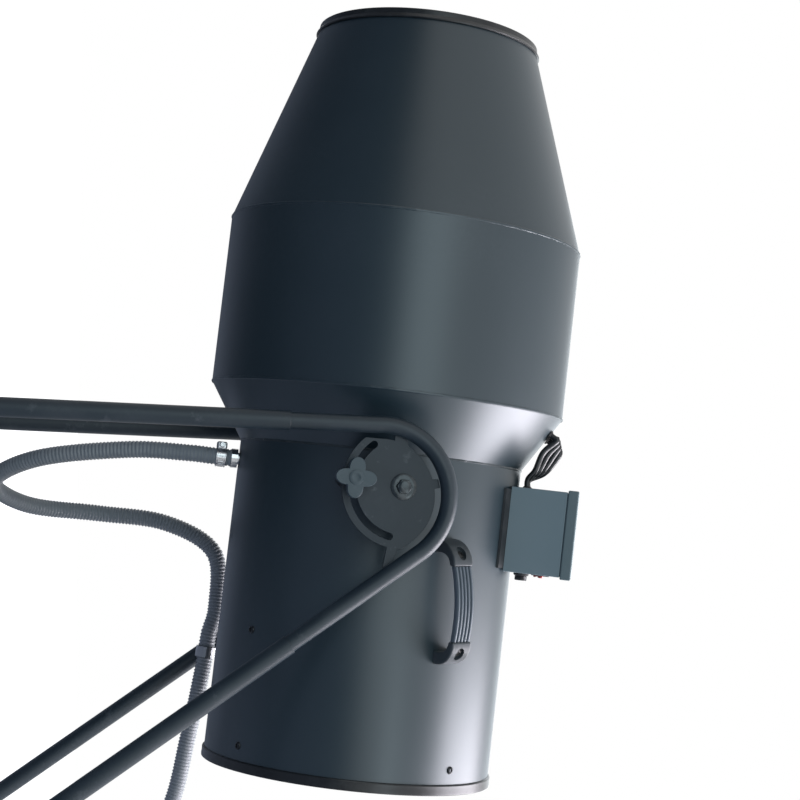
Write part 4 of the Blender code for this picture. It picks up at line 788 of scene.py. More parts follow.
ring_pieces.append(
    tube_from("feed_pipe", smooth_route(feed_route, 0.004), ring_tube * 0.9, rounds=6)
)
ring = joined(ring_pieces)
dress(moved(ring, barrel_frame), "ring_pipe", plated_steel, "barrel", "spray_ring", smooth=40)
screen_station = 0.598
half = 0.008
slope = (drum_r - outlet_r) / (outlet - drum_front)
rear_in = outlet_r + slope * (outlet - screen_station + half) - wall - gap * 2
front_in = outlet_r + slope * (outlet - screen_station - half) - wall - gap * 2
net_r = front_in - 0.011
screen_line = [
    (-half, net_r + 0.001), (-half, rear_in - 0.001), (-half + 0.001, rear_in),
    (half - 0.001, front_in), (half, front_in - 0.001), (half, net_r + 0.001),
    (half - 0.001, net_r), (-half + 0.001, net_r), (-half, net_r + 0.001),
]
net_pieces = [moved(turned(screen_line, 144), Matrix.Translation((screen_station, 0, 0)))]
net_pitch = 0.0080
net_count = int(net_r / net_pitch)
for across in (0, 1):
    for i in range(-net_count, net_count + 1):
        offset = i * net_pitch
        reach = sqrt((net_r + 0.002) ** 2 - offset**2)
        steps = max(int(reach * 2 / (net_pitch / 2)), 2)
        wire = []
        for step in range(steps + 1):
            along = -reach + 2 * reach * step / steps
            wave = 0.0006 * cos(pi * along / net_pitch + (i + across) * pi)
            side = (offset, along) if across else (along, offset)
            wire.append(Vector((screen_station + wave, *side)))
        net_pieces.append(tube_from("net_wire", wire, 0.0006, rounds=0))
screen = joined(net_pieces)
dress(moved(screen, barrel_frame), "woven_screen", plated_steel, "barrel", "foam_screen", smooth=40)


# Stand tubes
# Each side frame is one 22 mm steel tube bent over the pivot, its ends pushed into wider legs
# that are welded on a base rail; two cross tubes join the sides. All sprayed satin black.
bow_r = 0.011
leg_r = 0.0125
front_lean = radians(2.3)
sleeve_drop = 0.146
overlap = 0.050
rail_height = 0.030
rail_front = -0.200
rail_rear = 0.610
rail_drop = pivot.z - rail_height
front_start = bend_middle + Vector((-cos(front_lean), 0, -sin(front_lean))) * bend_r
frame_paint = add_edge_rub(
    mottled(
        "frame_paint", (0.011, 0.023, 0.033), 0.46,
        dust_share=0.10, spread=0.12, scale=14, dust=(0.3, 0.32, 0.34), grain=0.06, grain_scale=500,
    ),
    (0.20, 0.22, 0.24), amount=0.18, scale=30,
)


def front_leg_back(drop):
    """How far back the front leg's middle lies at a drop below the pivot."""
    return front_start.x - (drop + front_start.z) * tan(front_lean)


def rear_leg_back(drop):
    """How far back the rear leg's middle lies at a drop below the pivot."""
    return clip_from.x + (drop + clip_from.z) * tan(rear_lean)


def rod_between(start, end, profile, sides=48):
    """A turned bar from one place to another; its profile runs from the start."""
    return moved(turned(profile, sides), facing(start, end - start))


def bar_profile(length, r):
    """Straight bar with softened ends."""
    soft = 0.0008
    return [
        (0, r * 0.5), (0, r - soft), (soft, r), (length - soft, r), (length, r - soft),
        (length, r * 0.5),
    ]


def cut_with(piece, tool, operation="DIFFERENCE"):
    """Takes a tool's shape out of a piece, and puts the tool away."""
    select_only(piece)
    trim = piece.modifiers.new("trim", "BOOLEAN")
    trim.operation = operation
    trim.object = tool
    bpy.ops.object.modifier_apply(modifier=trim.name)
    bpy.data.objects.remove(tool)
    return piece


rail_cap = mottled("cap_plastic", (0.014, 0.015, 0.016), 0.5, grain=0.12)
foot_rubber = mottled(
    "foot_rubber", (0.016, 0.016, 0.017), 0.75, dust_share=0.35, spread=0.1, scale=70, grain=0.3
)
cross_back = rear_leg_back(rail_drop) - 0.032
for side, label in ((-1, "left"), (1, "right")):
    plane = Vector((pivot.x, side * side_y, pivot.z))
    end_drop = sleeve_drop + overlap
    low_front = plane + Vector((front_leg_back(end_drop), 0, -end_drop))
    low_rear = plane + Vector((rear_leg_back(end_drop), 0, -end_drop))
    top_front = plane + front_start
    leg_way = (top_front - low_front).normalized()
    bpy.ops.mesh.primitive_circle_add(vertices=40, radius=bow_r)
    bow = bpy.context.object
    bow_turn = leg_way.to_track_quat("Z", "Y").to_matrix().to_4x4()
    bow.matrix_world = Matrix.Translation(low_front) @ bow_turn
    bpy.ops.object.mode_set(mode="EDIT")
    bpy.ops.mesh.select_all(action="SELECT")
    bpy.ops.mesh.extrude_region_move(TRANSFORM_OT_translate={"value": (top_front - low_front)})
    bpy.ops.mesh.spin(
        steps=56, angle=-(pi + front_lean - rear_lean), center=plane + bend_middle, axis=(0, 1, 0),
    )
    bpy.ops.mesh.extrude_region_move(TRANSFORM_OT_translate={"value": (low_rear - (plane + clip_from))})
    bpy.ops.object.mode_set(mode="OBJECT")
    faces_outward(bow, close=True)
    dress(bow, "bent_tube_" + label, frame_paint, "stand", "bow_" + label)
    for name, node, back_at in (
        ("front_sleeve_", "front_leg_", front_leg_back),
        ("rear_sleeve_", "rear_leg_", rear_leg_back),
    ):
        top = plane + Vector((back_at(sleeve_drop), 0, -sleeve_drop))
        foot_at = plane + Vector((back_at(rail_drop), 0, -rail_drop))
        length = (foot_at - top).length - leg_r * 0.6
        tube_line = [
            (0, bow_r + gap), (0, leg_r - 0.0004), (0.0005, leg_r), (length - 0.006, leg_r),
            (length - 0.004, leg_r + 0.0016), (length, leg_r + 0.0030), (length + 0.0030, leg_r + 0.0035),
            (length + 0.0030, bow_r + gap), (0, bow_r + gap),
        ]
        leg = rod_between(top, foot_at, tube_line, 48)
        dress(leg, name + label, frame_paint, "stand", node + label)
    rail_start = plane + Vector((rail_front, 0, -rail_drop))
    rail_end = plane + Vector((rail_rear, 0, -rail_drop))
    rail_length = (rail_end - rail_start).length
    rail_line = [
        (0.0012, bow_r), (0.0012, leg_r - 0.0003), (0.0018, leg_r), (rail_length - 0.0018, leg_r),
        (rail_length - 0.0012, leg_r - 0.0003), (rail_length - 0.0012, bow_r), (0.0012, bow_r),
    ]
    rail = rod_between(rail_start, rail_end, rail_line, 48)
    dress(rail, "floor_rail_" + label, frame_paint, "stand", "base_rail_" + label)
    for where, spot, way in (("front", rail_start, (-1, 0, 0)), ("rear", rail_end, (1, 0, 0))):
        plug = [(-0.012, 0.0104), (-0.0013, 0.0104), (-0.0013, leg_r - 0.0006), (-0.0009, leg_r - 0.0002)]
        plug += [(-0.0004, leg_r - 0.0010), (0, leg_r - 0.0035), (0, 0.0005)]
        cap = moved(turned(plug, 48), facing(spot, way))
        dress(cap, "rail_cap_" + where + "_" + label, rail_cap, "stand")
    for where, back in (("front", rail_front + 0.022), ("rear", rail_rear - 0.022)):
        centre = plane + Vector((back, 0, 0))
        pad = solid_block(
            (centre.x - 0.024, centre.y - 0.018, 0.0),
            (centre.x + 0.024, centre.y + 0.018, rail_height - 0.002), 0.003, 3,
        )
        seat = rod_between(
            centre + Vector((-0.04, 0, rail_height - pivot.z)),
            centre + Vector((0.04, 0, rail_height - pivot.z)), bar_profile(0.08, leg_r + gap), 48,
        )
        cut_with(pad, seat)
        name = "rubber_foot_" + where + "_" + label
        dress(pad, name, foot_rubber, "stand", "foot_" + where + "_" + label)
for name, node, back in (
    ("cross_tube_front", "crossbar_front", -0.142), ("cross_tube_rear", "crossbar_rear", cross_back),
):
    reach = side_y - leg_r * 0.9
    start = Vector((pivot.x + back, -reach, rail_height))
    end = Vector((pivot.x + back, reach, rail_height))
    length = 2 * reach
    line = [
        (0, bow_r - 0.001), (0, bow_r + 0.0034), (0.0030, bow_r + 0.0022), (0.0050, bow_r),
        (length - 0.0050, bow_r), (length - 0.0030, bow_r + 0.0022), (length, bow_r + 0.0034),
        (length, bow_r - 0.001),
    ]
    dress(rod_between(start, end, line, 48), name, frame_paint, "stand", node)


# Pivot plates
# A 5 mm steel disc stands just inside each bend, welded to the tube by three short tabs, with a
# curved slot that the clamp stud runs in as the barrel tilts.
plate_outer = side_y - 0.006 + 0.0025
plate_inner = plate_outer - 0.005
plate_paint = add_edge_rub(
    mottled(
        "plate_paint", (0.008, 0.018, 0.027), 0.52,
        dust_share=0.10, scale=16, dust=(0.3, 0.32, 0.34), grain_scale=600,
    ),
    (0.25, 0.27, 0.29), amount=0.2, scale=45,
)
inner_half = sqrt(bow_r**2 - 0.0035**2)


bend_low = pi + front_lean
bow_line = [Vector((front_leg_back(0.4), 0, -0.4))]
for i in range(181):
    angle = bend_low + (rear_lean - bend_low) * i / 180
    bow_line.append(bend_middle + Vector((cos(angle), 0, sin(angle))) * bend_r)
bow_line.append(Vector((rear_leg_back(0.4), 0, -0.4)))


def reach_to_bow(angle):
    """How far the tube's inner edge lies from the pivot bolt, along a ray in its plane."""
    ray_x, ray_z = cos(angle), sin(angle)
    best = 1.0
    for a, b in zip(bow_line, bow_line[1:]):
        along = (b - a).normalized()
        inward = Vector((along.z, 0, -along.x)) * inner_half
        p, edge = a + inward, b - a
        cross = ray_x * edge.z - ray_z * edge.x
        if abs(cross) < 1e-12:
            continue
        reach = (p.x * edge.z - p.z * edge.x) / cross
        share = (p.x * ray_z - p.z * ray_x) / cross
        if reach > 0 and -0.02 <= share <= 1.02:
            best = min(best, reach)
    return best


def pulled(points, *steps):
    """A flat face with its corners at the points, extruded by each step in turn."""
    bpy.ops.mesh.primitive_circle_add(vertices=len(points), radius=1, fill_type="NGON")
    piece = bpy.context.object
    for vertex, point in zip(piece.data.vertices, points):
        vertex.co = point
    bpy.ops.object.mode_set(mode="EDIT")
    bpy.ops.mesh.select_all(action="SELECT")
    for step in steps:
        bpy.ops.mesh.extrude_region_move(TRANSFORM_OT_translate={"value": step})
    bpy.ops.object.mode_set(mode="OBJECT")
    return faces_outward(piece)


def slab(outline, low, high):
    """A flat outline of (x, y) points, extruded from one height to another."""
    return pulled([(x, y, low) for x, y in outline], (0, 0, high - low))


def in_side_plane(side, tilt=0.0):
    """From a flat outline (back, up) and a height outward, to the machine's side."""
    turn = Matrix(((1, 0, 0, 0), (0, 0, side, 0), (0, 1, 0, 0), (0, 0, 0, 1)))
    return Matrix.Translation(pivot) @ Matrix.Rotation(tilt, 4, "Y") @ turn


def arc_slot(centre_r, width, start, end, low, high):
    """A curved slot's tool: angles from straight down, positive towards the outlet."""
    outline = []
    for first, last, r, turned_by in (
        (start, end, centre_r + width / 2, 0), (end, start, centre_r - width / 2, pi),
    ):
        for i in range(41):
            angle = first + (last - first) * i / 40
            outline.append((-r * sin(angle), -r * cos(angle)))
        middle = (-centre_r * sin(last), -centre_r * cos(last))
        for i in range(1, 12):
            angle = last + turned_by + pi * i / 12
            outline.append(
                (middle[0] - width / 2 * sin(angle), middle[1] - width / 2 * cos(angle))
            )
    return slab(outline, low, high)


slot_r = 0.066
tab_half = radians(9)
plate_outline = []
for i in range(360):
    angle = 2 * pi * i / 360
    reach = reach_to_bow(angle)
    radius = min(0.080, reach - 0.008)
    for tab in (-15, 95, 182):
        off = abs((angle - radians(tab) + pi) % (2 * pi) - pi)
        if off < tab_half and reach < 0.110:
            edge = min(1.0, (tab_half - off) / radians(1.6))
            radius = max(radius, radius + (reach - gap - 0.0004 - radius) * edge)
    plate_outline.append((radius * cos(angle), radius * sin(angle)))
for side, label in ((-1, "left"), (1, "right")):
    plate = slab(plate_outline, plate_inner, plate_outer)
    slot_ends = (radians(-73.6), radians(54.9))
    cut_with(plate, arc_slot(slot_r, 0.009, *slot_ends, plate_inner - 0.01, plate_outer + 0.01))
    softened(plate, 0.0007, 2, 50)
    plate.matrix_world = in_side_plane(side)
    dress(plate, "slotted_plate_" + label, plate_paint, "stand", "pivot_plate_" + label, smooth=30)


# Barrel brackets, pivot bolts and clamp knobs
# A welded box bracket on the barrel carries the flanged pivot bolt and the clamp stud; a four-lobed
# moulded knob on the stud pinches the plate to hold the barrel's tilt.
barrel_lean = radians(6.6)
stud_angle = radians(10.2) - barrel_lean
stud = Vector((-sin(stud_angle), -cos(stud_angle))) * slot_r
bracket_face = side_y - bow_r - 0.0005
bracket_end = bracket_face - 0.009
x_outward = Matrix(((0, 1, 0, 0), (0, 0, 1, 0), (1, 0, 0, 0), (0, 0, 0, 1)))
knob_plastic = mottled(
    "knob_plastic", (0.038, 0.062, 0.076), 0.42,
    dust_share=0.25, scale=40, dust=(0.3, 0.33, 0.35), grain=0.15, grain_scale=700,
)
bolt_metal = mottled("bolt_metal", (0.030, 0.040, 0.046), 0.26, metallic=0.35, dust_share=0.3, spread=0.2)


def on_tilt(side, spot=(0, 0)):
    """The side plane of the tilted barrel, from a (back, up) spot."""
    return in_side_plane(side, barrel_lean) @ Matrix.Translation((*spot, 0))


def cut_round(piece, r, start, length, sides=192, operation="DIFFERENCE"):
    """Cuts a piece to the barrel's round with a bar along the barrel's axis."""
    bar = turned(bar_profile(length, r), sides)
    moved(bar, barrel_frame @ Matrix.Translation((start, 0, 0)))
    return cut_with(piece, bar, operation)


def arc(middle, r, start, end, steps):
    """Points on an arc about a middle, both ends included."""
    points = []
    for i in range(steps + 1):
        angle = start + (end - start) * i / steps
        points.append((middle[0] + r * cos(angle), middle[1] + r * sin(angle)))
    return points


lean = atan2(stud.y, stud.x)
big_r, small_r = 0.030, 0.014
spread = acos((big_r - small_r) / slot_r)
link = arc((0, 0), big_r, lean + spread, lean + 2 * pi - spread, 48)
link += arc(stud, small_r, lean - spread, lean + spread, 24)
base = plate_outer + gap
under = side_y + bow_r + 0.0015
for side, label in ((-1, "left"), (1, "right")):
    bracket = softened(slab(link, 0.150, bracket_face), 0.0015, 3, 60)
    bracket.matrix_world = on_tilt(side)
    cut_round(bracket, rear_r + gap, -0.1, 0.2)
    boss_line = [
        (bracket_face - 0.003, 0.006), (bracket_face - 0.003, 0.016),
        (plate_inner - gap - 0.0006, 0.016), (plate_inner - gap, 0.0154),
        (plate_inner - gap, 0.006),
    ]
    boss = moved(turned(boss_line, 48), on_tilt(side) @ x_outward)
    bracket = joined([bracket, boss])
    dress(bracket, "box_bracket_" + label, bracket_paint, "barrel", "barrel_bracket_" + label)
    washer_line = [
        (base, 0.0070), (base, 0.0163), (base + 0.0004, 0.0168), (base + 0.0014, 0.0166),
        (base + 0.0022, 0.0152), (base + 0.0028, 0.0125), (base + 0.0028, 0.0070),
    ]
    washer = turned(washer_line, 72)
    hexagon = arc((0, 0), 0.0104, 0, pi * 5 / 3, 5)
    head = softened(slab(hexagon, 0.0, 0.0072), 0.0014, 3, 30)
    head.matrix_world = Matrix.Translation((base + 0.0024, 0, 0)) @ Matrix.Rotation(pi / 2, 4, "Y")
    dome_line = [(0.0094, 0.0082), (0.0100, 0.0076), (0.0105, 0.0050), (0.0107, 0.0006)]
    dome = turned([(base + along, r) for along, r in dome_line], 36)
    shank_line = [
        (bracket_end, 0.004), (bracket_end, 0.006), (base + 0.001, 0.006), (base + 0.001, 0.003),
    ]
    bolt = moved(joined([washer, head, dome, turned(shank_line, 32)]), on_tilt(side) @ x_outward)
    dress(bolt, "flanged_bolt_" + label, bolt_metal, "barrel", "pivot_bolt_" + label, smooth=40)
    lobes = []
    for i in range(144):
        angle = 2 * pi * i / 144
        wave = 0.5 + 0.5 * cos(4 * angle)
        radius = 0.026 * (0.56 + 0.44 * wave**0.62)
        lobes.append((radius * cos(angle), radius * sin(angle)))
    star = softened(slab(lobes, under, under + 0.0145), 0.0036, 5, 60)
    hub_line = [(0.0135, 0.0100), (0.0152, 0.0092), (0.0158, 0.0060), (0.0152, 0.0050), (0.0152, 0.0004)]
    hub_cap = moved(turned([(under + along, r) for along, r in hub_line], 48), x_outward)
    neck_line = [
        (bracket_end, 0.002), (bracket_end, 0.0040), (base, 0.0040), (base, 0.0115),
        (base + 0.0015, 0.0115), (base + 0.0022, 0.0100), (base + 0.0035, 0.0085),
        (under + 0.002, 0.0085), (under + 0.002, 0.004),
    ]
    stem = moved(turned(neck_line, 48), x_outward)
    knob = moved(joined([star, hub_cap, stem]), on_tilt(side, stud))
    knob_node = "clamp_knob_" + label
    dress(knob, "star_knob_" + label, knob_plastic, knob_node, knob_node, smooth=50)


# Strap handles
# A ribbed, slightly bowed grip of soft black plastic hooks into two moulded end caps, each held
# to the barrel by a screw at the bottom of an oval recess.
handle_station = -0.142
handle_half = 0.0790
handle_angle = radians(22.8)
handle_skew = radians(6.0)
standoff = 0.040
grip_thick = 0.009
grip_rise = 0.008
cap_plastic = mottled(
    "handle_cap_plastic", (0.060, 0.070, 0.078), 0.45,
    scale=40, dust=(0.35, 0.37, 0.4), grain=0.2, grain_scale=800,
)
grip_plastic = mottled(
    "grip_plastic", (0.125, 0.150, 0.178), 0.46,
    scale=40, dust=(0.4, 0.42, 0.45), grain=0.2, grain_scale=800,
)
recess_dark = mottled(
    "recess_dark", (0.008, 0.009, 0.010), 0.5, dust_share=0.1, spread=0.1, scale=90, grain=0.1
)
x_upward = Matrix.Rotation(-pi / 2, 4, "Y")
screw_line = [
    (-0.0046, 0.0056), (-0.0036, 0.0056), (-0.0028, 0.0048), (-0.0022, 0.0026),
    (-0.0034, 0.0022), (-0.0034, 0.0003),
]
top = rear_r + standoff + grip_thick * 0.5
cap_outline = [
    (handle_half - back, height) for back, height in (
        (-0.003, rear_r - 0.012), (-0.003, rear_r + 0.008), (-0.0018, rear_r + 0.016),
        (0.0005, rear_r + 0.023), (0.0040, top - 0.0145), (0.0100, top - 0.0075),
        (0.0160, top - 0.0028), (0.022, top), (0.030, top + 0.0005),
        (0.030, top - grip_thick - 0.002), (0.0245, top - grip_thick - 0.0035),
        (0.0195, top - grip_thick - 0.0070), (0.0160, top - grip_thick - 0.0130),
        (0.014, rear_r + 0.014), (0.014, rear_r - 0.012),
    )
]


def on_handle(side):
    """From the handle's frame (ahead along X, round along Y, outward along Z) to the machine."""
    out = Vector((0, -side * cos(handle_angle), sin(handle_angle)))
    along = Vector((1, 0, 0))
    skew = Matrix.Rotation(-handle_skew * side, 4, "Z")
    return barrel_frame @ axes_at((handle_station, 0, 0), along, out.cross(along), out) @ skew


for side, label in ((-1, "left"), (1, "right")):
    for where, flip in (("front", 1), ("rear", -1)):
        cap = slab([(x * flip, y) for x, y in cap_outline], -0.015, 0.015)
        cap.matrix_world = Matrix(((1, 0, 0, 0), (0, 0, 1, 0), (0, 1, 0, 0), (0, 0, 0, 1)))
        select_only(cap)
        bpy.ops.object.transform_apply()
        softened(faces_outward(cap), 0.0026, 4, 50)
        recess = Matrix.Translation((flip * (handle_half - 0.0130), 0, top - 0.0062))
        recess @= Matrix.Rotation(flip * radians(40), 4, "Y")
        dent = turned([(-0.0042, 0.0060), (0.0060, 0.0064), (0.0060, 0.002)], 40)
        dent.matrix_world = recess @ Matrix.Diagonal((1.75, 1, 1, 1)) @ x_upward
        cut_with(cap, dent)
        cut_round(moved(cap, on_handle(side)), rear_r + gap, -0.30, 0.30)
        name = "handle_cap_" + where + "_" + label
        dress(cap, name, cap_plastic, "barrel", "handle_" + where + "_cap_" + label)
        head = turned(screw_line, 32)
        head.matrix_world = on_handle(side) @ recess @ x_upward
        dress(head, "handle_screw_" + where + "_" + label, recess_dark, "barrel")
    section = [
        (-0.013, -grip_thick / 2 + 0.001), (-0.012, -grip_thick / 2),
        (0.012, -grip_thick / 2), (0.013, -grip_thick / 2 + 0.001),
    ]
    for i in range(5):
        start = 0.013 - 0.0052 * i
        for share, depth in (
            (0.04, 0.0019), (0.14, 0.0019), (0.22, 0.0006), (0.32, 0.0), (0.68, 0.0), (0.78, 0.0006),
            (0.86, 0.0019), (0.96, 0.0019),
        ):
            section.append((start - 0.0052 * share, grip_thick / 2 - depth))
    length = handle_half - 0.030 - gap
    lift = rear_r + standoff - 0.0004
    course = [-1 + 2 * i / 28 for i in range(29)]
    grip = pulled(
        [(-length, y, z + lift) for y, z in section],
        *((length * (q - p), 0, grip_rise * (p**2 - q**2)) for p, q in zip(course, course[1:])),
    )
    grip.matrix_world = on_handle(side)
    dress(grip, "ribbed_grip_" + label, grip_plastic, "barrel", "handle_grip_" + label, smooth=50)


# Control box
# A folded sheet-steel box with a shallow lid, its lower edges cut to the barrel's round and
# welded on a curved saddle plate; grey-green sprayed, lid held by four small screws.
box_front = 0.021
box_rear = -0.096
box_half = 0.065
box_top = rear_r + 0.0702
box_angle = radians(74.5)
lid_height = 0.0148
lid_over = 0.0027
seat_r = rear_r + gap + 0.003
out = out_at(box_angle)
box_place = barrel_frame @ axes_at((0, 0, 0), (1, 0, 0), out.cross(Vector((1, 0, 0))), out)
box_paint = add_edge_rub(
    mottled(
        "box_paint", (0.225, 0.290, 0.320), 0.40,
        dust_share=0.12, spread=0.12, scale=14, dust=(0.35, 0.38, 0.4), grain=0.10, grain_scale=420,
    ),
    (0.25, 0.28, 0.30), amount=0.12, scale=60,
)
lid_paint = mottled(
    "lid_paint", (0.150, 0.200, 0.215), 0.40,
    dust_share=0.15, spread=0.12, scale=18, dust=(0.35, 0.38, 0.4), grain=0.10, grain_scale=420,
)
box_body = solid_block(
    (box_rear, -box_half, seat_r - 0.020), (box_front, box_half, box_top), 0.0014, 3
)
inside_tool = solid_block(
    (box_rear + wall, -box_half + wall, seat_r - 0.030),
    (box_front - wall, box_half - wall, box_top + 0.01), 0.0004, 1,
)
cut_with(box_body, inside_tool)
cut_round(moved(box_body, box_place), seat_r + gap, -0.2, 0.3, 256)
dress(box_body, "box_body", box_paint, "barrel", "control_box", smooth=30)
lid = solid_block(
    (box_rear - lid_over, -box_half - lid_over, box_top + gap),
    (box_front + lid_over, box_half + lid_over, box_top + gap + lid_height), 0.0019, 4,
)
dress(moved(lid, box_place), "box_cover", lid_paint, "barrel", "box_lid")
lid_screws = []
lid_screw_line = [
    (-0.0003, 0.0030), (0.0003, 0.0034), (0.0008, 0.0030), (0.0012, 0.0018), (0.0007, 0.0014),
    (0.0007, 0.0003),
]
for x in (box_rear + 0.006, box_front - 0.006):
    for y in (-box_half + 0.006, box_half - 0.006):
        spot = (x, y, box_top + gap + lid_height - 0.0014)
        lid_screws.append(moved(turned(lid_screw_line, 20), facing(spot, (0, 0, 1))))
lid_screws = joined(lid_screws)
dress(moved(lid_screws, box_place), "cover_screws", screw_black, "barrel")
saddle = solid_block(
    (box_rear + 0.004, -0.080, rear_r - 0.050), (box_front - 0.004, 0.080, rear_r + 0.050),
    0.0005, 1,
)
cut_round(moved(saddle, box_place), seat_r, -0.25, 0.4, 256, "INTERSECT")
cut_round(saddle, rear_r + gap, -0.25, 0.4, 256)
dress(saddle, "saddle_plate", bracket_paint, "barrel", "box_saddle", smooth=20)


# Switch, lamp and power inlet
# On the box's rear wall: a red rocker in a snap-in black bezel, a small red lamp, and the
# threaded gland body that the mains lead plugs into.
switch_out = rear_r + 0.0425
inlet_out = rear_r + 0.0170
black_plastic = mottled("black_plastic", (0.018, 0.018, 0.020), 0.36, scale=90, grain=0.12)
rocker_red = mottled(
    "rocker_red", (0.36, 0.03, 0.03), 0.30, dust_share=0.1, spread=0.1, scale=90, grain=0.05
)
lamp_red = mottled(
    "lamp_red", (0.40, 0.05, 0.04), 0.14, coat=0.5, dust_share=0.1, spread=0.1, scale=90, grain=0.03
)
rear_wall = box_rear - gap
inlet_line = [
    (0, 0.0040), (0, 0.0102), (0.0004, 0.0105), (0.0026, 0.0105), (0.0032, 0.0096),
    (0.0040, 0.0086), (0.0046, 0.0082), (0.0052, 0.0086), (0.0058, 0.0082), (0.0064, 0.0086),
    (0.0070, 0.0082), (0.0076, 0.0086), (0.0082, 0.0082), (0.0094, 0.0083), (0.0100, 0.0078),
    (0.0100, 0.0058), (0.0060, 0.0054), (0.0060, 0.0004),
]
lamp_line = [
    (0, 0.0030), (0, 0.0058), (0.0004, 0.0060), (0.0017, 0.0060), (0.0021, 0.0052),
    (0.0022, 0.0046), (0.0040, 0.0044), (0.0052, 0.0037), (0.0058, 0.0024), (0.0060, 0.0003),
]
for name, node, line, side, height, material in (
    ("inlet_body", "power_inlet", inlet_line, 0.036, inlet_out, black_plastic),
    ("switch_light", "switch_lamp", lamp_line, -0.036, switch_out, lamp_red),
):
    piece = moved(turned(line, 40), box_place @ facing((rear_wall, side, height), (-1, 0, 0)))
    dress(piece, name, material, "barrel", node)
bezel = solid_block(
    (rear_wall - 0.0020, -0.0125, switch_out - 0.0125),
    (rear_wall, 0.0045, switch_out + 0.0125), 0.0007, 3,
)
window = solid_block(
    (rear_wall - 0.01, -0.0102, switch_out - 0.0103),
    (rear_wall + 0.01, 0.0022, switch_out + 0.0103), 0.0002, 1,
)
cut_with(bezel, window)
dress(moved(bezel, box_place), "rocker_bezel", black_plastic, "barrel", "switch_bezel")
repaint(rocker_red, "switch_rocker")


# Control cables
# Four black rubber cables leave the box's front wall through grommets, arch over side by side and
# go down through the flare to the pump line, the motor and the level switch.
cable_r = 0.0042
cable_rubber = mottled("cable_rubber", (0.010, 0.011, 0.013), 0.30, grain=0.06)
grommet_rubber = mottled(
    "grommet_rubber", (0.012, 0.012, 0.013), 0.55, dust_share=0.3, spread=0.1, scale=90, grain=0.2
)
ring_line = [
    (0, cable_r + 0.0001), (0, cable_r + 0.0018), (0.0006, cable_r + 0.0022),
    (0.0020, cable_r + 0.0016), (0.0030, cable_r + 0.0004), (0.0030, cable_r + 0.0001),
    (0, cable_r + 0.0001),
]
flare_slope = atan2(drum_r - rear_r, drum_rear - neck)
grommets = []
cables = []
for side, arch, share in (
    (0.018, 0.06, 0.705), (0.006, 0.36, 0.680), (-0.006, 0.68, 0.654), (-0.018, 1.0, 0.628),
):
    end = neck + (drum_rear - neck) * share
    end_r = rear_r + (drum_r - rear_r) * (end - neck) / (drum_rear - neck)
    polar = asin(side / end_r)
    way_out = Vector((0, sin(polar), cos(polar)))
    normal = Vector((-sin(flare_slope), 0, 0)) + way_out * cos(flare_slope)
    cable_foot = Vector((end, 0, 0)) + way_out * (end_r + gap) + normal * 0.0006
    begin = Vector((box_front + gap, side, rear_r + 0.0120))
    route = [
        begin,
        begin + Vector((0.013, 0, 0)),
        begin.lerp(cable_foot, 1 / 3) + Vector((0.001, 0, 0.0145)) * arch,
        begin.lerp(cable_foot, 2 / 3) + Vector((0.001, 0, 0.0245)) * arch,
        cable_foot + normal * (0.013 + 0.009 * arch),
        cable_foot + normal * 0.009,
        cable_foot,
    ]
    cables.append(tube_from("control_cable", smooth_route(route, 0.0025), cable_r, rounds=5))
    for spot, way in ((begin, (1, 0, 0)), (cable_foot - normal * 0.0004, normal)):
        grommets.append(moved(turned(ring_line, 28), facing(spot, way)))
dress(
    moved(joined(cables), box_place), "control_cables", cable_rubber, "barrel",
    "cable_1", "cable_2", "cable_3", "cable_4", smooth=60,
)
grommets = dress(moved(joined(grommets), box_place), "cable_grommets", grommet_rubber, "barrel")


# Hose clip
# A bent steel P-clip, closed round the hose by a screw, holds it against the far rear leg, so
# that the loop above it can swing as the barrel tilts.
clip_metal = mottled("clip_metal", (0.40, 0.41, 0.42), 0.32, metallic=0.9, dust_share=0.25, spread=0.2)
repaint(clip_metal, "hose_clip")


# Studio
# A pale floor and a white surround; soft panels over, before and behind the machine give its
# black paint the long highlights of the photograph.
floor_paint = new_material("floor_paint", (0.16, 0.19, 0.24), 0.9)
floor_tree = floor_paint.node_tree
from_middle = add_node(
    floor_tree, "ShaderNodeVectorMath", {0: object_place(floor_tree)}, operation="LENGTH"
)
whiter_far_off = add_node(
    floor_tree, "ShaderNodeMapRange",
    {
        "From Min": 0.9, "From Max": 2.6, "To Min": 0.36, "To Max": 1.0,
        "Value": from_middle.outputs["Value"],
    },
)
plain_white = add_node(
    floor_tree, "ShaderNodeEmission",
    {"Color": (1, 1, 1, 1), "Strength": whiter_far_off.outputs["Result"]},
)
lit_white = add_node(floor_tree, "ShaderNodeBsdfDiffuse", {"Color": (0.74, 0.74, 0.76, 1)})
add_up = add_node(
    floor_tree, "ShaderNodeAddShader",
    {0: plain_white.outputs["Emission"], 1: lit_white.outputs["BSDF"]},
)
floor_ray = add_node(floor_tree, "ShaderNodeLightPath").outputs
floor_choose = add_node(
    floor_tree, "ShaderNodeMixShader",
    {
        "Fac": floor_ray["Is Camera Ray"], 1: floor_tree.nodes["Principled BSDF"].outputs["BSDF"],
        2: add_up.outputs["Shader"],
    },
)
floor_tree.links.new(
    floor_choose.outputs["Shader"], floor_tree.nodes["Material Output"].inputs["Surface"]
)
bpy.ops.mesh.primitive_plane_add(size=30)
floor = bpy.context.object
floor.name = "studio_floor"
floor.data.materials.append(floor_paint)

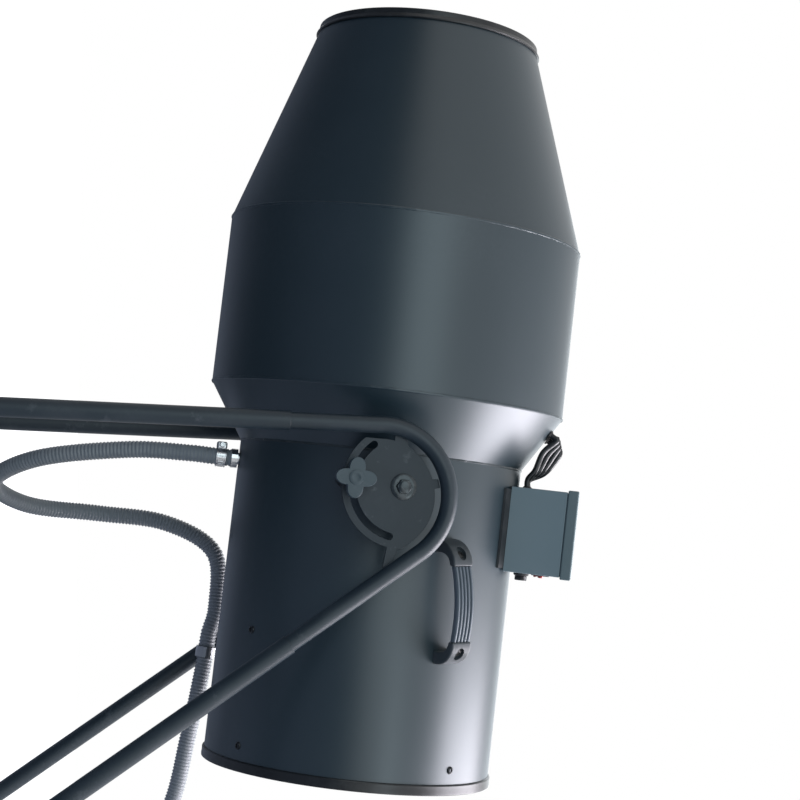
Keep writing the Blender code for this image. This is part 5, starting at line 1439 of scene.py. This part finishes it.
world = bpy.data.worlds.new("studio")
bpy.context.scene.world = world
world.use_nodes = True
sky = world.node_tree.nodes["Background"]
sky.inputs["Color"].default_value = (0.90, 0.94, 1.0, 1)
sky.inputs["Strength"].default_value = 0.22
shown = add_node(
    world.node_tree, "ShaderNodeBackground", {"Color": (1, 1, 1, 1), "Strength": 1.0}
)
ray = add_node(world.node_tree, "ShaderNodeLightPath").outputs
seen = add_node(
    world.node_tree, "ShaderNodeMath", {0: ray["Is Camera Ray"], 1: ray["Is Glossy Ray"]},
    operation="MAXIMUM",
)
seen_through = add_node(
    world.node_tree, "ShaderNodeMath", {0: seen.outputs["Value"], 1: ray["Is Transmission Ray"]},
    operation="MAXIMUM",
)
choose = add_node(
    world.node_tree, "ShaderNodeMixShader",
    {
        "Fac": seen_through.outputs["Value"], 1: sky.outputs["Background"],
        2: shown.outputs["Background"],
    },
)
world.node_tree.links.new(
    choose.outputs["Shader"], world.node_tree.nodes["World Output"].inputs["Surface"]
)


def soft_panel(name, place, aim, size, power, colour):
    """An area lamp at a place, aimed at a point."""
    lamp = bpy.data.lights.new(name, "AREA")
    lamp.shape = "RECTANGLE"
    lamp.size, lamp.size_y = size
    lamp.energy = power
    lamp.color = colour
    stand_in = bpy.data.objects.new(name, lamp)
    stand_in.location = place
    stand_in.rotation_euler = (Vector(aim) - Vector(place)).to_track_quat("-Z", "Y").to_euler()
    bpy.context.scene.collection.objects.link(stand_in)


soft_panel("overhead_panel", (1.45, 0.0, 2.7), (0.25, 0, 0.8), (2.0, 1.5), 128, (0.97, 0.93, 1.0))
soft_panel("front_panel", (-0.8, -3.4, 1.2), (0, 0, 0.7), (2.4, 1.6), 20, (0.74, 0.94, 1.0))
soft_panel("strip_panel", (1.5, -3.0, 1.95), (0.2, 0, 0.7), (1.6, 0.35), 11, (0.80, 0.95, 1.0))
soft_panel("back_panel", (0.4, 2.6, 1.9), (0, 0, 0.7), (2.8, 1.6), 20, (0.85, 0.95, 1.0))
bpy.context.scene.view_settings.view_transform = "Standard"
